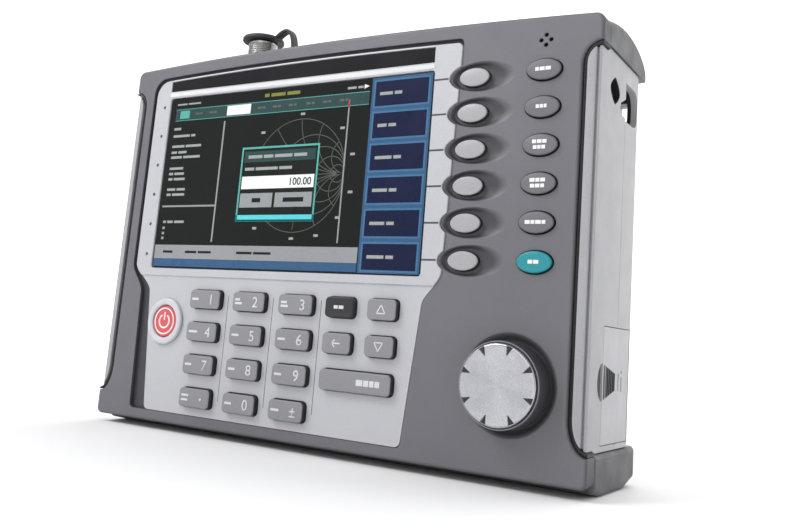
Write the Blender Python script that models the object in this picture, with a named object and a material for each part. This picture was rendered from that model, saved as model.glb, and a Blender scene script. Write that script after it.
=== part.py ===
"""Handheld vector network analyzer as separate pieces, in metres, +Z up.

The front face looks along -Y and the case stands on its flat base at z = 0.
Depths are counted back from the front face, and place() turns them into Y.
"""

import math

import bmesh
import bpy

# Clearances shared by all pieces
GAP = 0.0003  # between pieces that touch
OVERRUN = 0.003  # how far a cutter runs past what it cuts
JOIN = 0.0006  # how deep a rib or a post roots in its wall

# Whole case
HALF_WIDTH = 0.1350
CASE_DEPTH = 0.0640  # front face to the rear of the caps
TOP = 0.1960  # crown of the top edge in the middle
CROWN_RADIUS = 2.600
TOP_CORNER = 0.0040
FRONT_FOOT = 0.0040  # lower edge of the front face above the base
FOOT_CORNER = 0.0030
COVER_INSET = 0.0010  # of the side covers inside the caps
COVER_STRIP = 0.0072  # width of a side cover's front strip
COVER_HALF_WIDTH = HALF_WIDTH - COVER_INSET
WAIST = COVER_HALF_WIDTH - COVER_STRIP  # half-width of the front case between the caps
WAIST_LOW = 0.0300  # where the waist starts to spread to the lower cap
SHOULDER_DROP = 0.0155  # from the crown down to where the waist ends
SHOULDER_RISE = 0.0095
LOW_SHOULDER = 0.0160
HIGH_SHOULDER = TOP - SHOULDER_DROP
WAIST_HIGH = HIGH_SHOULDER - SHOULDER_RISE  # where the waist spreads to the upper cap
EDGE_ROUND = 0.0018

# Front case
FRONT_DEPTH = 0.0093
FACE = 0.0040  # thickness of the front wall
FRONT_WALL = 0.0022
POST_RADIUS = 0.0025
BOSS_RIM = 0.0012  # of the dark rim round a soft key's scoop

# Control plate, the light panel round the screen and the keypad
PLATE_BACK = 0.0019
PLATE_PROUD = 0.0008  # of the screen part over the front face
PLATE_INSET = 0.0178  # from the side of the case to the plate
KEY_BAND = 0.0635  # width of the band for the keys and the knob, right of the plate
PLATE_LEAN = 0.0032  # how much the right edge leans
TOP_BAND = 0.0090  # from the crown down to the plate
STRIP_MARGIN = 0.0012
STRIP_HEIGHT = 0.0074
STRIP_SPACE = 0.0042  # between the strip and the glass
GLASS_HEIGHT = 0.0920
STEP_MARGIN = 0.0040  # from the glass down to the step
PLATE_LEFT = PLATE_INSET - HALF_WIDTH
PLATE_RIGHT_HIGH = HALF_WIDTH - KEY_BAND
PLATE_RIGHT_LOW = PLATE_RIGHT_HIGH - PLATE_LEAN
PLATE_TOP = TOP - TOP_BAND
STRIP_TOP = PLATE_TOP - STRIP_MARGIN
STRIP_BOTTOM = STRIP_TOP - STRIP_HEIGHT
GLASS_TOP = STRIP_BOTTOM - STRIP_SPACE
GLASS_BOTTOM = GLASS_TOP - GLASS_HEIGHT
PLATE_STEP = GLASS_BOTTOM - STEP_MARGIN  # height of the step down to the keypad part
PLATE_BOTTOM = 0.0096
BEND_RISE = 0.0063  # of the bends over the step
BEND_DROP = 0.0092  # and below it
PLATE_BEND_HIGH = PLATE_STEP + BEND_RISE
PLATE_BEND_LOW = PLATE_STEP - BEND_DROP
BEND_LEFT = 0.0119
BEND_RIGHT = 0.0121
KEYPAD_TAPER = 0.0058
KEYPAD_LEFT_HIGH = PLATE_LEFT + BEND_LEFT
KEYPAD_LEFT_LOW = KEYPAD_LEFT_HIGH + KEYPAD_TAPER
KEYPAD_RIGHT_HIGH = PLATE_RIGHT_HIGH - BEND_RIGHT
KEYPAD_RIGHT_LOW = KEYPAD_RIGHT_HIGH - KEYPAD_TAPER
PLATE_CORNER = 0.0080
PLATE_LOW_CORNER = 0.0025
CHANNEL_WIDTH = 0.0032  # of the channel left of the plate
CHANNEL_WIDE = 0.0069  # and beside the keypad part
CHANNEL_LEAN = 0.0020
CHANNEL_LEFT = PLATE_LEFT - CHANNEL_WIDTH
CHANNEL_KEYPAD_HIGH = KEYPAD_LEFT_HIGH - CHANNEL_WIDE
CHANNEL_KEYPAD_LOW = CHANNEL_KEYPAD_HIGH + CHANNEL_LEAN
CHANNEL_TOP = 0.0022

# Screen
GLASS_INSET = 0.0114  # from the plate's left edge to the glass
GLASS_KEY_SIDE = 0.0136  # and on the side of the soft keys
GLASS_LEFT = PLATE_LEFT + GLASS_INSET
GLASS_RIGHT = PLATE_RIGHT_HIGH - GLASS_KEY_SIDE
GLASS_CORNER = 0.0015
GLASS_FACE = -0.0002  # depth of its front
GLASS_LEDGE = 0.0025
DISPLAY_THICKNESS = 0.0055
DISPLAY_MARGIN = 0.0040
STRIP_REACH = 0.0006  # of the strip past the glass on the left
STRIP_SHORT = 0.0003  # and short of it on the right
STRIP_LEFT = GLASS_LEFT - STRIP_REACH
STRIP_RIGHT = GLASS_RIGHT - STRIP_SHORT
STRIP_RECESS = 0.0009
DOT_SPACE = 0.0045
DOT_X = GLASS_LEFT - DOT_SPACE
DOT_RADIUS = 0.0009
DOT_DEPTH = 0.0006

# Keys: pitches, places and sizes
ROW_PITCH = 0.0161
SOFT_SPACE = 0.0062  # from the plate's edge to the soft keys
SOFT_DROP = 0.0045  # from the glass's top to the first row
SOFT_X = PLATE_RIGHT_HIGH + SOFT_SPACE
SOFT_TOP_ROW = GLASS_TOP - SOFT_DROP
SOFT_WIDTH = 0.0142
SOFT_HEIGHT = 0.0082
SOFT_PROUD = 0.0002
SCOOP_SHIFT = 0.0043
SCOOP_X = SOFT_X + SCOOP_SHIFT
SCOOP_WIDTH = 0.0310
SCOOP_HEIGHT = 0.0134
SCOOP_DEPTH = 0.0022
SCOOP_FLOOR_WIDTH = 0.0184
SCOOP_FLOOR_HEIGHT = 0.0110
SOFT_ROWS = 6
FUNCTION_SPACE = 0.0327  # between the two columns of oval keys
FUNCTION_X = SOFT_X + FUNCTION_SPACE
FUNCTION_WIDTH = 0.0152
FUNCTION_HEIGHT = 0.0090
FUNCTION_PROUD = 0.0018
KEYPAD_DROP = 0.01145  # from the step to the first row of the keypad
KEYPAD_REACH = 0.0541  # from the plate's left edge to the first column
KEY_TOP_ROW = PLATE_STEP - KEYPAD_DROP
KEY_X = PLATE_LEFT + KEYPAD_REACH
KEY_PITCH = 0.0284
KEY_WIDTH = 0.0196
KEY_HEIGHT = 0.0092
KEY_CORNER = 0.0020
KEY_PROUD = 0.0030
ESCAPE_SPACE = 0.0818  # from the first column to escape
ARROW_SPACE = 0.0226  # from escape to the arrows
ESCAPE_X = KEY_X + ESCAPE_SPACE
ESCAPE_WIDTH = 0.0152
ARROW_X = ESCAPE_X + ARROW_SPACE
ARROW_WIDTH = 0.0148
KEY_TRAVEL = 0.0008
KEY_BEVEL = 0.0005
FLANGE_REACH = 0.0006
KEYPAD_MARGIN = 0.0008
DOME = 0.0003
FLANGE = 0.0009

# Power button
POWER_INSET = 0.0264  # from the plate's left edge
POWER_DROP = 0.01215  # from the first row of the keypad
POWER_X = PLATE_LEFT + POWER_INSET
POWER_Z = KEY_TOP_ROW - POWER_DROP
POWER_RING = 0.01175  # outer radius
POWER_RING_PROUD = 0.0020
POWER_RADIUS = 0.0080
POWER_PROUD = 0.0014

# Tuning knob and its encoder
KNOB_INSET = 0.0335  # from the side of the case
KNOB_X = HALF_WIDTH - KNOB_INSET
KNOB_Z = 0.0400
KNOB_RADIUS = 0.0164
KNOB_FACE_RADIUS = 0.0150
KNOB_PROUD = 0.0110
KNOB_BEVEL = 0.0010
KNOB_NOTCHES = 8
NOTCH_LENGTH = 0.0046
NOTCH_WIDTH = 0.0024
NOTCH_DEPTH = 0.0016
NOTCH_START = 27  # degrees from +X to the first notch
SKIRT_RADIUS = 0.0173
SKIRT_DEPTH = 0.0113  # height of the body under the silver cap
DISH_RADIUS = 0.0208
DISH_FLOOR_RADIUS = 0.0182
DISH_DEPTH = 0.0024
SHAFT_RADIUS = 0.0030
ENCODER_SIDE = 0.0140
ENCODER_DEPTH = 0.0078

# Beeper
BEEPER_X = FUNCTION_X
BEEPER_DROP = 0.0131
BEEPER_Z = TOP - BEEPER_DROP
BEEPER_SPREAD = 0.0022
BEEPER_HOLE = 0.0009
BEEPER_RADIUS = 0.0050
BEEPER_DEPTH = 0.0045

# Boards behind the front
MAT = 0.0015
MAT_MARGIN = 0.0020
MAT_REACH = 0.0122  # of the mat past the power button's centre
MAT_LEFT = POWER_X - MAT_REACH
BOARD = 0.0016
BOARD_DEPTH = 0.0139  # front of the main board
BOARD_INSET = 0.0085
BOARD_HALF_WIDTH = COVER_HALF_WIDTH - BOARD_INSET
BOARD_BOTTOM = 0.0240
BOARD_SPACE = 0.0480  # from the board up to the crown
BOARD_TOP = TOP - BOARD_SPACE

# Housing behind the front case
HOUSING_BOTTOM = 0.0170
CAP_OVERLAP = 0.0002
HOUSING_TOP = HIGH_SHOULDER + CAP_OVERLAP
HOUSING_WALL = 0.0025
HOUSING_SINK = 0.0020  # of the housing's back inside the caps
HOUSING_BACK = CASE_DEPTH - HOUSING_SINK
REAR_CORNER = 0.0090

# Side covers and their gaskets
COVER_WALL = 0.0025
COVER_BACK = 0.0360
HOUSING_HALF_WIDTH = COVER_HALF_WIDTH - COVER_WALL - GAP
GASKET = 0.0013
GASKET_FACE = 0.0008
GASKET_BACK = 0.0030
CORNER_GROOVE = 0.0010

# Caps over the top and bottom
CAP_WALL = 0.0030
CAP_ARCH = 0.0040  # how much the cap's ends arch over the crown
ARCH_START = 0.0550  # from the side of the case to where they begin to rise
ARCH_RUN = 0.0400
ARCH_CREST = 0.0340  # depth of the highest line
BASE_FRONT = 0.0200  # where the flat base starts
BASE_SHORT = 0.0140  # from the rear to where the flat base ends
BASE_BACK = CASE_DEPTH - BASE_SHORT
KEEL_BACK = 0.0035
CAP_BEVEL = 0.0013

# Battery door and battery
DOOR_FRONT = 0.0185
DOOR_SHORT = 0.0080  # from the housing's back to the door
DOOR_BACK = HOUSING_BACK - DOOR_SHORT
DOOR_BOTTOM = 0.0195
DOOR_TOP = 0.0660
DOOR_THICKNESS = COVER_WALL  # flush with the cover
TRUNNION = 0.0006
TRUNNION_LENGTH = 0.0012
BAY_MARGIN = 0.0040
THUMB_Z = 0.0440
THUMB_HEIGHT = 0.0150
THUMB_WIDTH = 0.0065
THUMB_DEPTH = 0.0018
RIBS = 5
RIB_FIRST = 0.0206
RIB_PITCH = 0.0032
RIB_WIDTH = 0.0014
RIB_DEPTH = 0.0008
RIB_LONG = 0.0123
RIB_SHORT = 0.0069
BATTERY_LENGTH = 0.1150
BATTERY_DEPTH = 0.0300
BATTERY_HEIGHT = 0.0420

# Strap eyelets, one in each side near the top
EYE_DROP = 0.0167  # from the housing's top
EYE_Z = HOUSING_TOP - EYE_DROP
EYE_BLOCK_HALF = 0.0140
EYE_WALL = 0.0045  # behind an eyelet's pocket
EYE_BLOCK_FRONT = 0.0120
EYE_FRONT = 0.0140
EYE_BAR_FRONT = 0.0265
EYE_BAR_BACK = 0.0300
EYE_BACK = HOUSING_BACK - DOOR_SHORT
EYE_HEIGHT = 0.0170
EYE_FRONT_HEIGHT = 0.0130
EYE_DEPTH = 0.0095
EYE_BLOCK_INNER = COVER_HALF_WIDTH - EYE_DEPTH - EYE_WALL
EYE_EXIT_WIDTH = 0.0050
EYE_EXIT_HEIGHT = 0.0090

# Test port with its dust cap
PORT_INSET = 0.0660  # from the side of the case
PORT_RISE = 0.0163  # over the crown
COLLAR_RISE = 0.0025
PORT_X = PORT_INSET - HALF_WIDTH
PORT_DEPTH = 0.0270
PORT_COLLAR = 0.0100
PORT_RADIUS = 0.0080
PORT_TOP = TOP + PORT_RISE
PORT_COLLAR_TOP = TOP + COLLAR_RISE
PORT_BORE = 0.0042
PORT_BORE_DEPTH = 0.0100
PORT_PIN = 0.0010
PORT_TAIL = 0.0025
CAP_BRIM = 0.0115
CAP_BRIM_THICKNESS = 0.0032
CAP_PLUG_DEPTH = 0.0060
CAP_PLUG_WALL = 0.0012
TETHER_REACH = 0.0230
TETHER_RISE = 0.0045
TETHER_WIDTH = 0.0050
TETHER_THICKNESS = 0.0018

# Sockets in the top
SOCKET_DEPTH = 0.0270
JACK_X = 0.0250
JACK_RADIUS = 0.0052
JACK_BORE = 0.0032
JACK_PIN = 0.0010
JACK_BORE_DEPTH = 0.0090
USB_X = 0.0480
USB_WIDTH = 0.0150
USB_HEIGHT = 0.0080
USB_MOUTH_WIDTH = 0.0125
USB_MOUTH_HEIGHT = 0.0050
USB_MOUTH_DEPTH = 0.0085
SOCKET_SINK = 0.0008

# Radio module
MODULE_SHORT = 0.0360  # from the port's axis to the left
MODULE_LONG = 0.0390  # and to the right
MODULE_LEFT = PORT_X - MODULE_SHORT
MODULE_RIGHT = PORT_X + MODULE_LONG
MODULE_BOTTOM = 0.0900
MODULE_BACK = 0.0400

# Tilt stand
WELL_HALF_WIDTH = 0.0500
WELL_BOTTOM = 0.0260
WELL_TOP = 0.1220
WELL_DEPTH = 0.0060
WELL_WALL = 0.0025
STAND_HALF_WIDTH = 0.0470
STAND_BOTTOM = 0.0350
STAND_THICKNESS = 0.0036
STAND_CORNER = 0.0080
HINGE_Z = 0.1165
HINGE_SINK = 0.0027  # of the stand's pin inside the housing's back
HINGE_DEPTH = HOUSING_BACK - HINGE_SINK
BARREL = 0.0026
PIN = 0.0014
STAND_RELIEF = 0.0012
STAND_FRAME = 0.0070

# Vents and fasteners in the back
VENT_X = 0.0900
VENT_Z = 0.1500
VENT_LENGTH = 0.0360
VENT_WIDTH = 0.0020
VENT_PITCH = 0.0050
VENTS = 5
SCREW_SINK_RADIUS = 0.0032
SCREW_SINK = 0.0030
SCREW_HOLE = 0.0013
BOSS = 0.0042
SCREW_INSET = 0.0052
SCREW_X = WAIST - SCREW_INSET
SCREW_LOW = 0.0740
SCREW_HIGH = 0.1400

FRONT_Y = KNOB_PROUD - (CASE_DEPTH + KNOB_PROUD) / 2


def clear_scene():
    """Empty the scene of every object."""
    for thing in list(bpy.data.objects):
        bpy.data.objects.remove(thing)


def place(x, depth, z):
    """A point of the case, with depth counted back from the front face."""
    return (x, FRONT_Y + depth, z)


def finish(name, colour, roughness, metallic=0.0):
    """A Principled material."""
    made = bpy.data.materials.new(name)
    made.use_nodes = True
    shader = made.node_tree.nodes["Principled BSDF"]
    shader.inputs["Base Color"].default_value = (*colour, 1)
    shader.inputs["Roughness"].default_value = roughness
    shader.inputs["Metallic"].default_value = metallic
    made.diffuse_color = (*colour, 1)
    return made


DARK = finish("dark_case_plastic", (0.165, 0.168, 0.178), 0.5)
LIGHT = finish("light_case_plastic", (0.50, 0.50, 0.52), 0.45)
SILVER = finish("silver_plate", (0.62, 0.63, 0.66), 0.4)
GRAPHITE = finish("graphite_rubber", (0.03, 0.03, 0.035), 0.7)
GLASS = finish("screen_glass", (0.02, 0.025, 0.03), 0.08)
KEY_GREY = finish("key_grey", (0.25, 0.25, 0.26), 0.5)
KEY_BLACK = finish("key_black", (0.02, 0.02, 0.022), 0.5)
KEY_TEAL = finish("key_teal", (0.01, 0.28, 0.32), 0.45)
KEY_SILVER = finish("key_silver", (0.66, 0.66, 0.68), 0.35, 0.4)
RED = finish("power_red", (0.75, 0.08, 0.10), 0.45)
STEEL = finish("steel", (0.6, 0.6, 0.62), 0.3, 1.0)
BOARD_GREEN = finish("board_green", (0.02, 0.16, 0.07), 0.5)
BLUE = finish("battery_wrap", (0.05, 0.07, 0.14), 0.5)


def arc(centre, radii, start, end, count):
    """Points along an elliptical arc, with angles in degrees from +X."""
    points = []
    for step in range(count):
        angle = math.radians(start + (end - start) * step / (count - 1))
        points.append((centre[0] + radii[0] * math.cos(angle), centre[1] + radii[1] * math.sin(angle)))
    return points


def oval(x, z, width, height, count=16):
    """A closed oval of count points."""
    turn = 360 * (count - 1) / count
    return arc((x, z), (width / 2, height / 2), 0, turn, count)


def rounded(corners, steps=4):
    """An outline from (x, z, radius) corners, each rounded by a tangent curve."""
    points = []
    count = len(corners)
    for index, (x, z, radius) in enumerate(corners):
        if not radius:
            points.append((x, z))
            continue
        ends = []
        for other in (corners[index - 1], corners[(index + 1) % count]):
            reach = math.hypot(other[0] - x, other[1] - z)
            share = min(radius / reach, 1 / 2)
            ends.append((x + (other[0] - x) * share, z + (other[1] - z) * share))
        for step in range(steps):
            t = step / (steps - 1)
            first, last, middle = (1 - t) ** 2, t ** 2, 2 * t * (1 - t)
            blend = [first * ends[0][k] + middle * (x, z)[k] + last * ends[1][k] for k in (0, 1)]
            points.append(tuple(blend))
    return points


def box_outline(left, right, bottom, top, radius=0, steps=4):
    """A rectangle with rounded corners, anticlockwise from the lower left."""
    corners = [(left, bottom, radius), (right, bottom, radius), (right, top, radius), (left, top, radius)]
    return rounded(corners, steps)


def centred(x, z, width, height, radius=0, steps=4):
    """A rounded rectangle about its centre."""
    return box_outline(x - width / 2, x + width / 2, z - height / 2, z + height / 2, radius, steps)


def grow(outline, distance):
    """The outline moved outwards by distance, mitred at its corners."""
    count = len(outline)
    following = outline[1:] + outline[:1]
    area = sum(a[0] * b[1] - b[0] * a[1] for a, b in zip(outline, following))
    side = 1 if area > 0 else -1
    moved = []
    for index, (x, z) in enumerate(outline):
        before, after = outline[index - 1], outline[(index + 1) % count]
        normals = []
        for start, end in ((before, (x, z)), ((x, z), after)):
            length = math.hypot(end[0] - start[0], end[1] - start[1])
            normals.append(((end[1] - start[1]) / length * side, (start[0] - end[0]) / length * side))
        sum_x, sum_z = normals[0][0] + normals[1][0], normals[0][1] + normals[1][1]
        scale = 2 * distance / (sum_x ** 2 + sum_z ** 2)
        moved.append((x + sum_x * scale, z + sum_z * scale))
    return moved


def sharp(points):
    """The points as corners that stay sharp."""
    return [(x, z, 0) for x, z in points]


def ease(start, end, count):
    """Points from start to end that leave and arrive upright, the ends included."""
    points = []
    for step in range(count):
        t = step / (count - 1)
        swing = (1 - math.cos(math.pi * t)) / 2
        points.append((start[0] + (end[0] - start[0]) * swing, start[1] + (end[1] - start[1]) * t))
    return points


def add_object(name, points, faces, material, origin=(0, 0, 0)):
    """A mesh object from world points, with its own origin and outward faces."""
    mesh = bpy.data.meshes.new(name)
    local = [tuple(p[k] - origin[k] for k in range(3)) for p in points]
    mesh.from_pydata(local, [], faces)
    work = bmesh.new()
    work.from_mesh(mesh)
    bmesh.ops.recalc_face_normals(work, faces=work.faces)
    work.to_mesh(mesh)
    work.free()
    if material:
        mesh.materials.append(material)
    made = bpy.data.objects.new(name, mesh)
    made.location = origin
    bpy.context.collection.objects.link(made)
    return made


def skin(name, rings, material, origin=(0, 0, 0)):
    """A closed skin over a stack of equal rings, capped at both ends."""
    count = len(rings[0])
    faces = [tuple(range(count)), tuple(range((len(rings) - 1) * count, len(rings) * count))]
    for row in range(len(rings) - 1):
        for column in range(count):
            after = (column + 1) % count
            low, high = row * count, (row + 1) * count
            faces.append((low + column, low + after, high + after, high + column))
    return add_object(name, [point for ring in rings for point in ring], faces, material, origin)


def front_rings(layers):
    """Rings in front-face planes, from (outline, depth) layers."""
    return [[place(x, depth, z) for x, z in outline] for outline, depth in layers]


def slab(name, outline, front, back, material=None, origin=(0, 0, 0)):
    """An outline of the front view, extruded from one depth to another."""
    return skin(name, front_rings([(outline, front), (outline, back)]), material, origin)


def plan_prism(name, outline, bottom, top, material=None):
    """An outline of (x, depth) points, extruded upwards."""
    return skin(name, [[place(x, depth, z) for x, depth in outline] for z in (bottom, top)], material)


def side_prism(name, outline, left, right, material=None):
    """An outline of (depth, z) points, extruded along X."""
    return skin(name, [[place(x, depth, z) for depth, z in outline] for x in (left, right)], material)


def lathe(name, profile, axis_point, direction, material=None, segments=24, origin=(0, 0, 0)):
    """A turned solid from (radius, height) steps, which end on the axis or close into a ring.

    direction is "front" for an axis out of the front face and "up" for +Z.
    """
    points = []
    faces = []
    rings = []
    for radius, height in profile:
        start = len(points)
        turns = 1 if radius == 0 else segments
        for step in range(turns):
            angle = 2 * math.pi * step / segments
            across, along = radius * math.cos(angle), radius * math.sin(angle)
            x, depth, z = axis_point
            if direction == "front":
                points.append(place(x + across, depth - height, z + along))
            else:
                points.append(place(x + across, depth + along, z + height))
        rings.append((start, turns))
    if profile[0][0]:
        rings.append(rings[0])
    for (low, low_turns), (high, high_turns) in zip(rings, rings[1:]):
        for step in range(segments):
            after = (step + 1) % segments
            below = (low + step % low_turns, low + after % low_turns)
            above = (high + after % high_turns, high + step % high_turns)
            faces.append(tuple(dict.fromkeys(below + above)))
    return add_object(name, points, faces, material, origin)


def apply_tool(target, tool, operation):
    """Cut or join target with a hidden tool, through a live exact Boolean."""
    tool.hide_render = True
    tool.display_type = "WIRE"
    change = target.modifiers.new(tool.name, "BOOLEAN")
    change.operation = operation
    change.object = tool
    return target


def cut(target, *tools):
    """Take the tools out of target."""
    for tool in tools:
        apply_tool(target, tool, "DIFFERENCE")
    return target


def join(target, *tools):
    """Fuse the tools with target."""
    for tool in tools:
        apply_tool(target, tool, "UNION")
    return target


def pool(name, parts):
    """One tool from several separate closed shapes."""
    work = bmesh.new()
    for part in parts:
        work.from_mesh(part.data)
        bpy.data.objects.remove(part)
    mesh = bpy.data.meshes.new(name)
    work.to_mesh(mesh)
    work.free()
    made = bpy.data.objects.new(name, mesh)
    bpy.context.collection.objects.link(made)
    return made


def smooth(thing, degrees=35):
    """Shade a round piece smooth, with sharp edges past the given angle."""
    thing.data.shade_smooth()
    thing.data.set_sharp_from_angle(angle=math.radians(degrees))
    return thing


def crown(x, top=TOP):
    """Height of a crowned edge at x, for the height it has in the middle."""
    return top - x ** 2 / (2 * CROWN_RADIUS)


def crown_run(left, right, top, count):
    """Points along a crowned edge."""
    places = [left + (right - left) * k / (count - 1) for k in range(count)]
    return [(x, crown(x, top)) for x in places]


def shoulder_points(side):
    """The waist of one side of the front case, from the lower shoulder up to the upper one."""
    spread = HALF_WIDTH - WAIST
    low = arc((HALF_WIDTH, WAIST_LOW), (spread, WAIST_LOW - LOW_SHOULDER), 270, 180, 6)
    high = arc((HALF_WIDTH, WAIST_HIGH), (spread, HIGH_SHOULDER - WAIST_HIGH), 180, 90, 6)
    return [(side * x, z) for x, z in low + high]


def front_outline():
    """The front case seen from the front, anticlockwise: waisted sides under a crowned top."""
    reach = HALF_WIDTH - TOP_CORNER
    top_left = arc((-reach, crown(reach) - TOP_CORNER), (TOP_CORNER, TOP_CORNER), 90, 180, 5)
    top_right = [(-x, z) for x, z in reversed(top_left)]
    foot_centre = (HALF_WIDTH - FOOT_CORNER, FRONT_FOOT + FOOT_CORNER)
    foot_right = arc(foot_centre, (FOOT_CORNER, FOOT_CORNER), 270, 360, 4)
    foot_left = [(-x, z) for x, z in reversed(foot_right)]
    top_edge = crown_run(reach, -reach, TOP, 9)[1:-1]
    right, left = shoulder_points(1), list(reversed(shoulder_points(-1)))
    return foot_right + right + top_right + top_edge + top_left + left + foot_left


def plate_outline():
    """The control plate seen from the front: the screen part, and the tapered keypad part below it."""
    left_bend = ease((PLATE_LEFT, PLATE_BEND_HIGH), (KEYPAD_LEFT_HIGH, PLATE_BEND_LOW), 6)
    right_bend = ease((KEYPAD_RIGHT_HIGH, PLATE_BEND_LOW), (PLATE_RIGHT_LOW, PLATE_BEND_HIGH), 6)
    foot = [(x, PLATE_BOTTOM, PLATE_LOW_CORNER) for x in (KEYPAD_LEFT_LOW, KEYPAD_RIGHT_LOW)]
    right_top = (PLATE_RIGHT_HIGH, crown(PLATE_RIGHT_HIGH, PLATE_TOP), PLATE_LOW_CORNER)
    left_top = (PLATE_LEFT, crown(PLATE_LEFT, PLATE_TOP), PLATE_CORNER)
    top_edge = crown_run(PLATE_RIGHT_HIGH - PLATE_CORNER, PLATE_LEFT + 2 * PLATE_CORNER, PLATE_TOP, 7)
    return rounded(foot + sharp(right_bend) + [right_top] + sharp(top_edge) + [left_top] + sharp(left_bend))


def channel_outline():
    """The recess that holds the control plate, wider than it on the left and above."""
    left_bend = ease((CHANNEL_LEFT, PLATE_BEND_HIGH), (CHANNEL_KEYPAD_HIGH, PLATE_BEND_LOW), 6)
    right_low, right_high = KEYPAD_RIGHT_HIGH + GAP, PLATE_RIGHT_LOW + GAP
    right_bend = ease((right_low, PLATE_BEND_LOW), (right_high, PLATE_BEND_HIGH), 6)
    low = PLATE_BOTTOM - GAP
    foot = [(CHANNEL_KEYPAD_LOW, low, PLATE_LOW_CORNER), (KEYPAD_RIGHT_LOW + GAP, low, PLATE_LOW_CORNER)]
    top = PLATE_TOP + CHANNEL_TOP
    right_top = (PLATE_RIGHT_HIGH + GAP, crown(PLATE_RIGHT_HIGH, top), PLATE_LOW_CORNER)
    left_top = (CHANNEL_LEFT, crown(CHANNEL_LEFT, top), PLATE_CORNER)
    top_edge = crown_run(PLATE_RIGHT_HIGH - PLATE_CORNER, CHANNEL_LEFT + 2 * PLATE_CORNER, top, 7)
    return rounded(foot + sharp(right_bend) + [right_top] + sharp(top_edge) + [left_top] + sharp(left_bend))


def soft_places():
    """Centres of the soft keys."""
    return [(SOFT_X, SOFT_TOP_ROW - ROW_PITCH * row) for row in range(SOFT_ROWS)]


def function_places():
    """Centres of the function keys."""
    return [(FUNCTION_X, z) for x, z in soft_places()]


def keypad_keys():
    """Every key of the keypad as (name, x, z, width)."""
    names = ("1", "2", "3", "4", "5", "6", "7", "8", "9", "point", "0", "sign")
    keys = []
    for index, name in enumerate(names):
        row, column = divmod(index, 3)
        keys.append(("key_" + name, KEY_X + KEY_PITCH * column, KEY_TOP_ROW - ROW_PITCH * row, KEY_WIDTH))
    keys.append(("key_escape", ESCAPE_X, KEY_TOP_ROW, ESCAPE_WIDTH))
    keys.append(("key_up", ARROW_X, KEY_TOP_ROW, ARROW_WIDTH))
    keys.append(("key_back", ESCAPE_X, KEY_TOP_ROW - ROW_PITCH, ESCAPE_WIDTH))
    keys.append(("key_down", ARROW_X, KEY_TOP_ROW - ROW_PITCH, ARROW_WIDTH))
    left, right = ESCAPE_X - ESCAPE_WIDTH / 2, ARROW_X + ARROW_WIDTH / 2
    keys.append(("key_enter", (left + right) / 2, KEY_TOP_ROW - 2 * ROW_PITCH, right - left))
    return keys


def key_outline(x, z, width):
    """Outline of a keypad key."""
    return centred(x, z, width, KEY_HEIGHT, KEY_CORNER, 3)


def screw_places():
    """Where posts of the front case meet bosses of the housing."""
    return [(side * SCREW_X, z) for side in (-1, 1) for z in (SCREW_LOW, SCREW_HIGH)]


def rod(name, radius, x, z, front, back, segments=12):
    """A plain round rod along the depth, for posts and holes."""
    profile = [(0, -back), (radius, -back), (radius, -front), (0, -front)]
    return lathe(name, profile, (x, 0, z), "front", segments=segments)


def scoop_rim(z, margin=0):
    """Outline of a soft key's scoop at the front face."""
    return oval(SCOOP_X, z, SCOOP_WIDTH + 2 * margin, SCOOP_HEIGHT + 2 * margin)


def scoop(name, x, z):
    """The sunk ramp round a soft key: steep on the left, fading out on the right."""
    rim = scoop_rim(z)
    floor = oval(x, z, SCOOP_FLOOR_WIDTH, SCOOP_FLOOR_HEIGHT)
    return skin(name, front_rings([(rim, -OVERRUN), (rim, 0), (floor, SCOOP_DEPTH)]), None)


def make_front_case():
    """The dark front moulding: a waisted face with its side walls, openings, scoops and posts."""
    outline = front_outline()
    layers = [
        (grow(outline, -EDGE_ROUND), 0),
        (grow(outline, -EDGE_ROUND / 3), EDGE_ROUND / 3),
        (outline, EDGE_ROUND),
        (outline, FRONT_DEPTH),
    ]
    case = skin("front_case", front_rings(layers), DARK)
    hollow = slab("front_hollow", grow(outline, -FRONT_WALL), FACE, FRONT_DEPTH + OVERRUN)
    recess = slab("plate_recess", channel_outline(), -OVERRUN, PLATE_BACK + GAP)
    rims = [slab("boss", scoop_rim(z, BOSS_RIM), 0, FACE - JOIN) for x, z in soft_places()]
    bosses = pool("scoop_bosses", rims)
    window = slab(
        "window",
        box_outline(
            GLASS_LEFT + GLASS_LEDGE,
            GLASS_RIGHT - GLASS_LEDGE,
            GLASS_BOTTOM + GLASS_LEDGE,
            GLASS_TOP - GLASS_LEDGE,
            GLASS_CORNER,
        ),
        0,
        FACE + OVERRUN,
    )
    posts = pool(
        "front_posts",
        [rod("post", POST_RADIUS, x, z, FACE - JOIN, BOARD_DEPTH - GAP) for x, z in screw_places()],
    )
    post_holes = pool(
        "front_post_holes",
        [rod("hole", SCREW_HOLE, x, z, FACE, BOARD_DEPTH + OVERRUN, 8) for x, z in screw_places()],
    )
    scoops = pool("scoops", [scoop("scoop", x, z) for x, z in soft_places()])
    cut(case, hollow, recess)
    join(case, bosses, posts)
    cut(case, window, keypad_opening(), post_holes, scoops)
    return cut(case, side_key_holes(), knob_dish(), beeper_holes())


def keypad_opening():
    """The openings behind the keypad and the power button."""
    left = KEY_X - KEY_WIDTH / 2 - FLANGE_REACH - KEYPAD_MARGIN
    right = ARROW_X + ARROW_WIDTH / 2 + FLANGE_REACH + KEYPAD_MARGIN
    reach = KEY_HEIGHT / 2 + FLANGE_REACH + KEYPAD_MARGIN
    area = box_outline(left, right, KEY_TOP_ROW - 3 * ROW_PITCH - reach, KEY_TOP_ROW + reach, KEY_CORNER)
    keypad = slab("keypad_area", area, 0, FACE + OVERRUN)
    radius = POWER_RADIUS + FLANGE_REACH + KEYPAD_MARGIN
    power = rod("power_area", radius, POWER_X, POWER_Z, 0, FACE + OVERRUN, 24)
    return pool("keypad_opening", [keypad, power])


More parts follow.
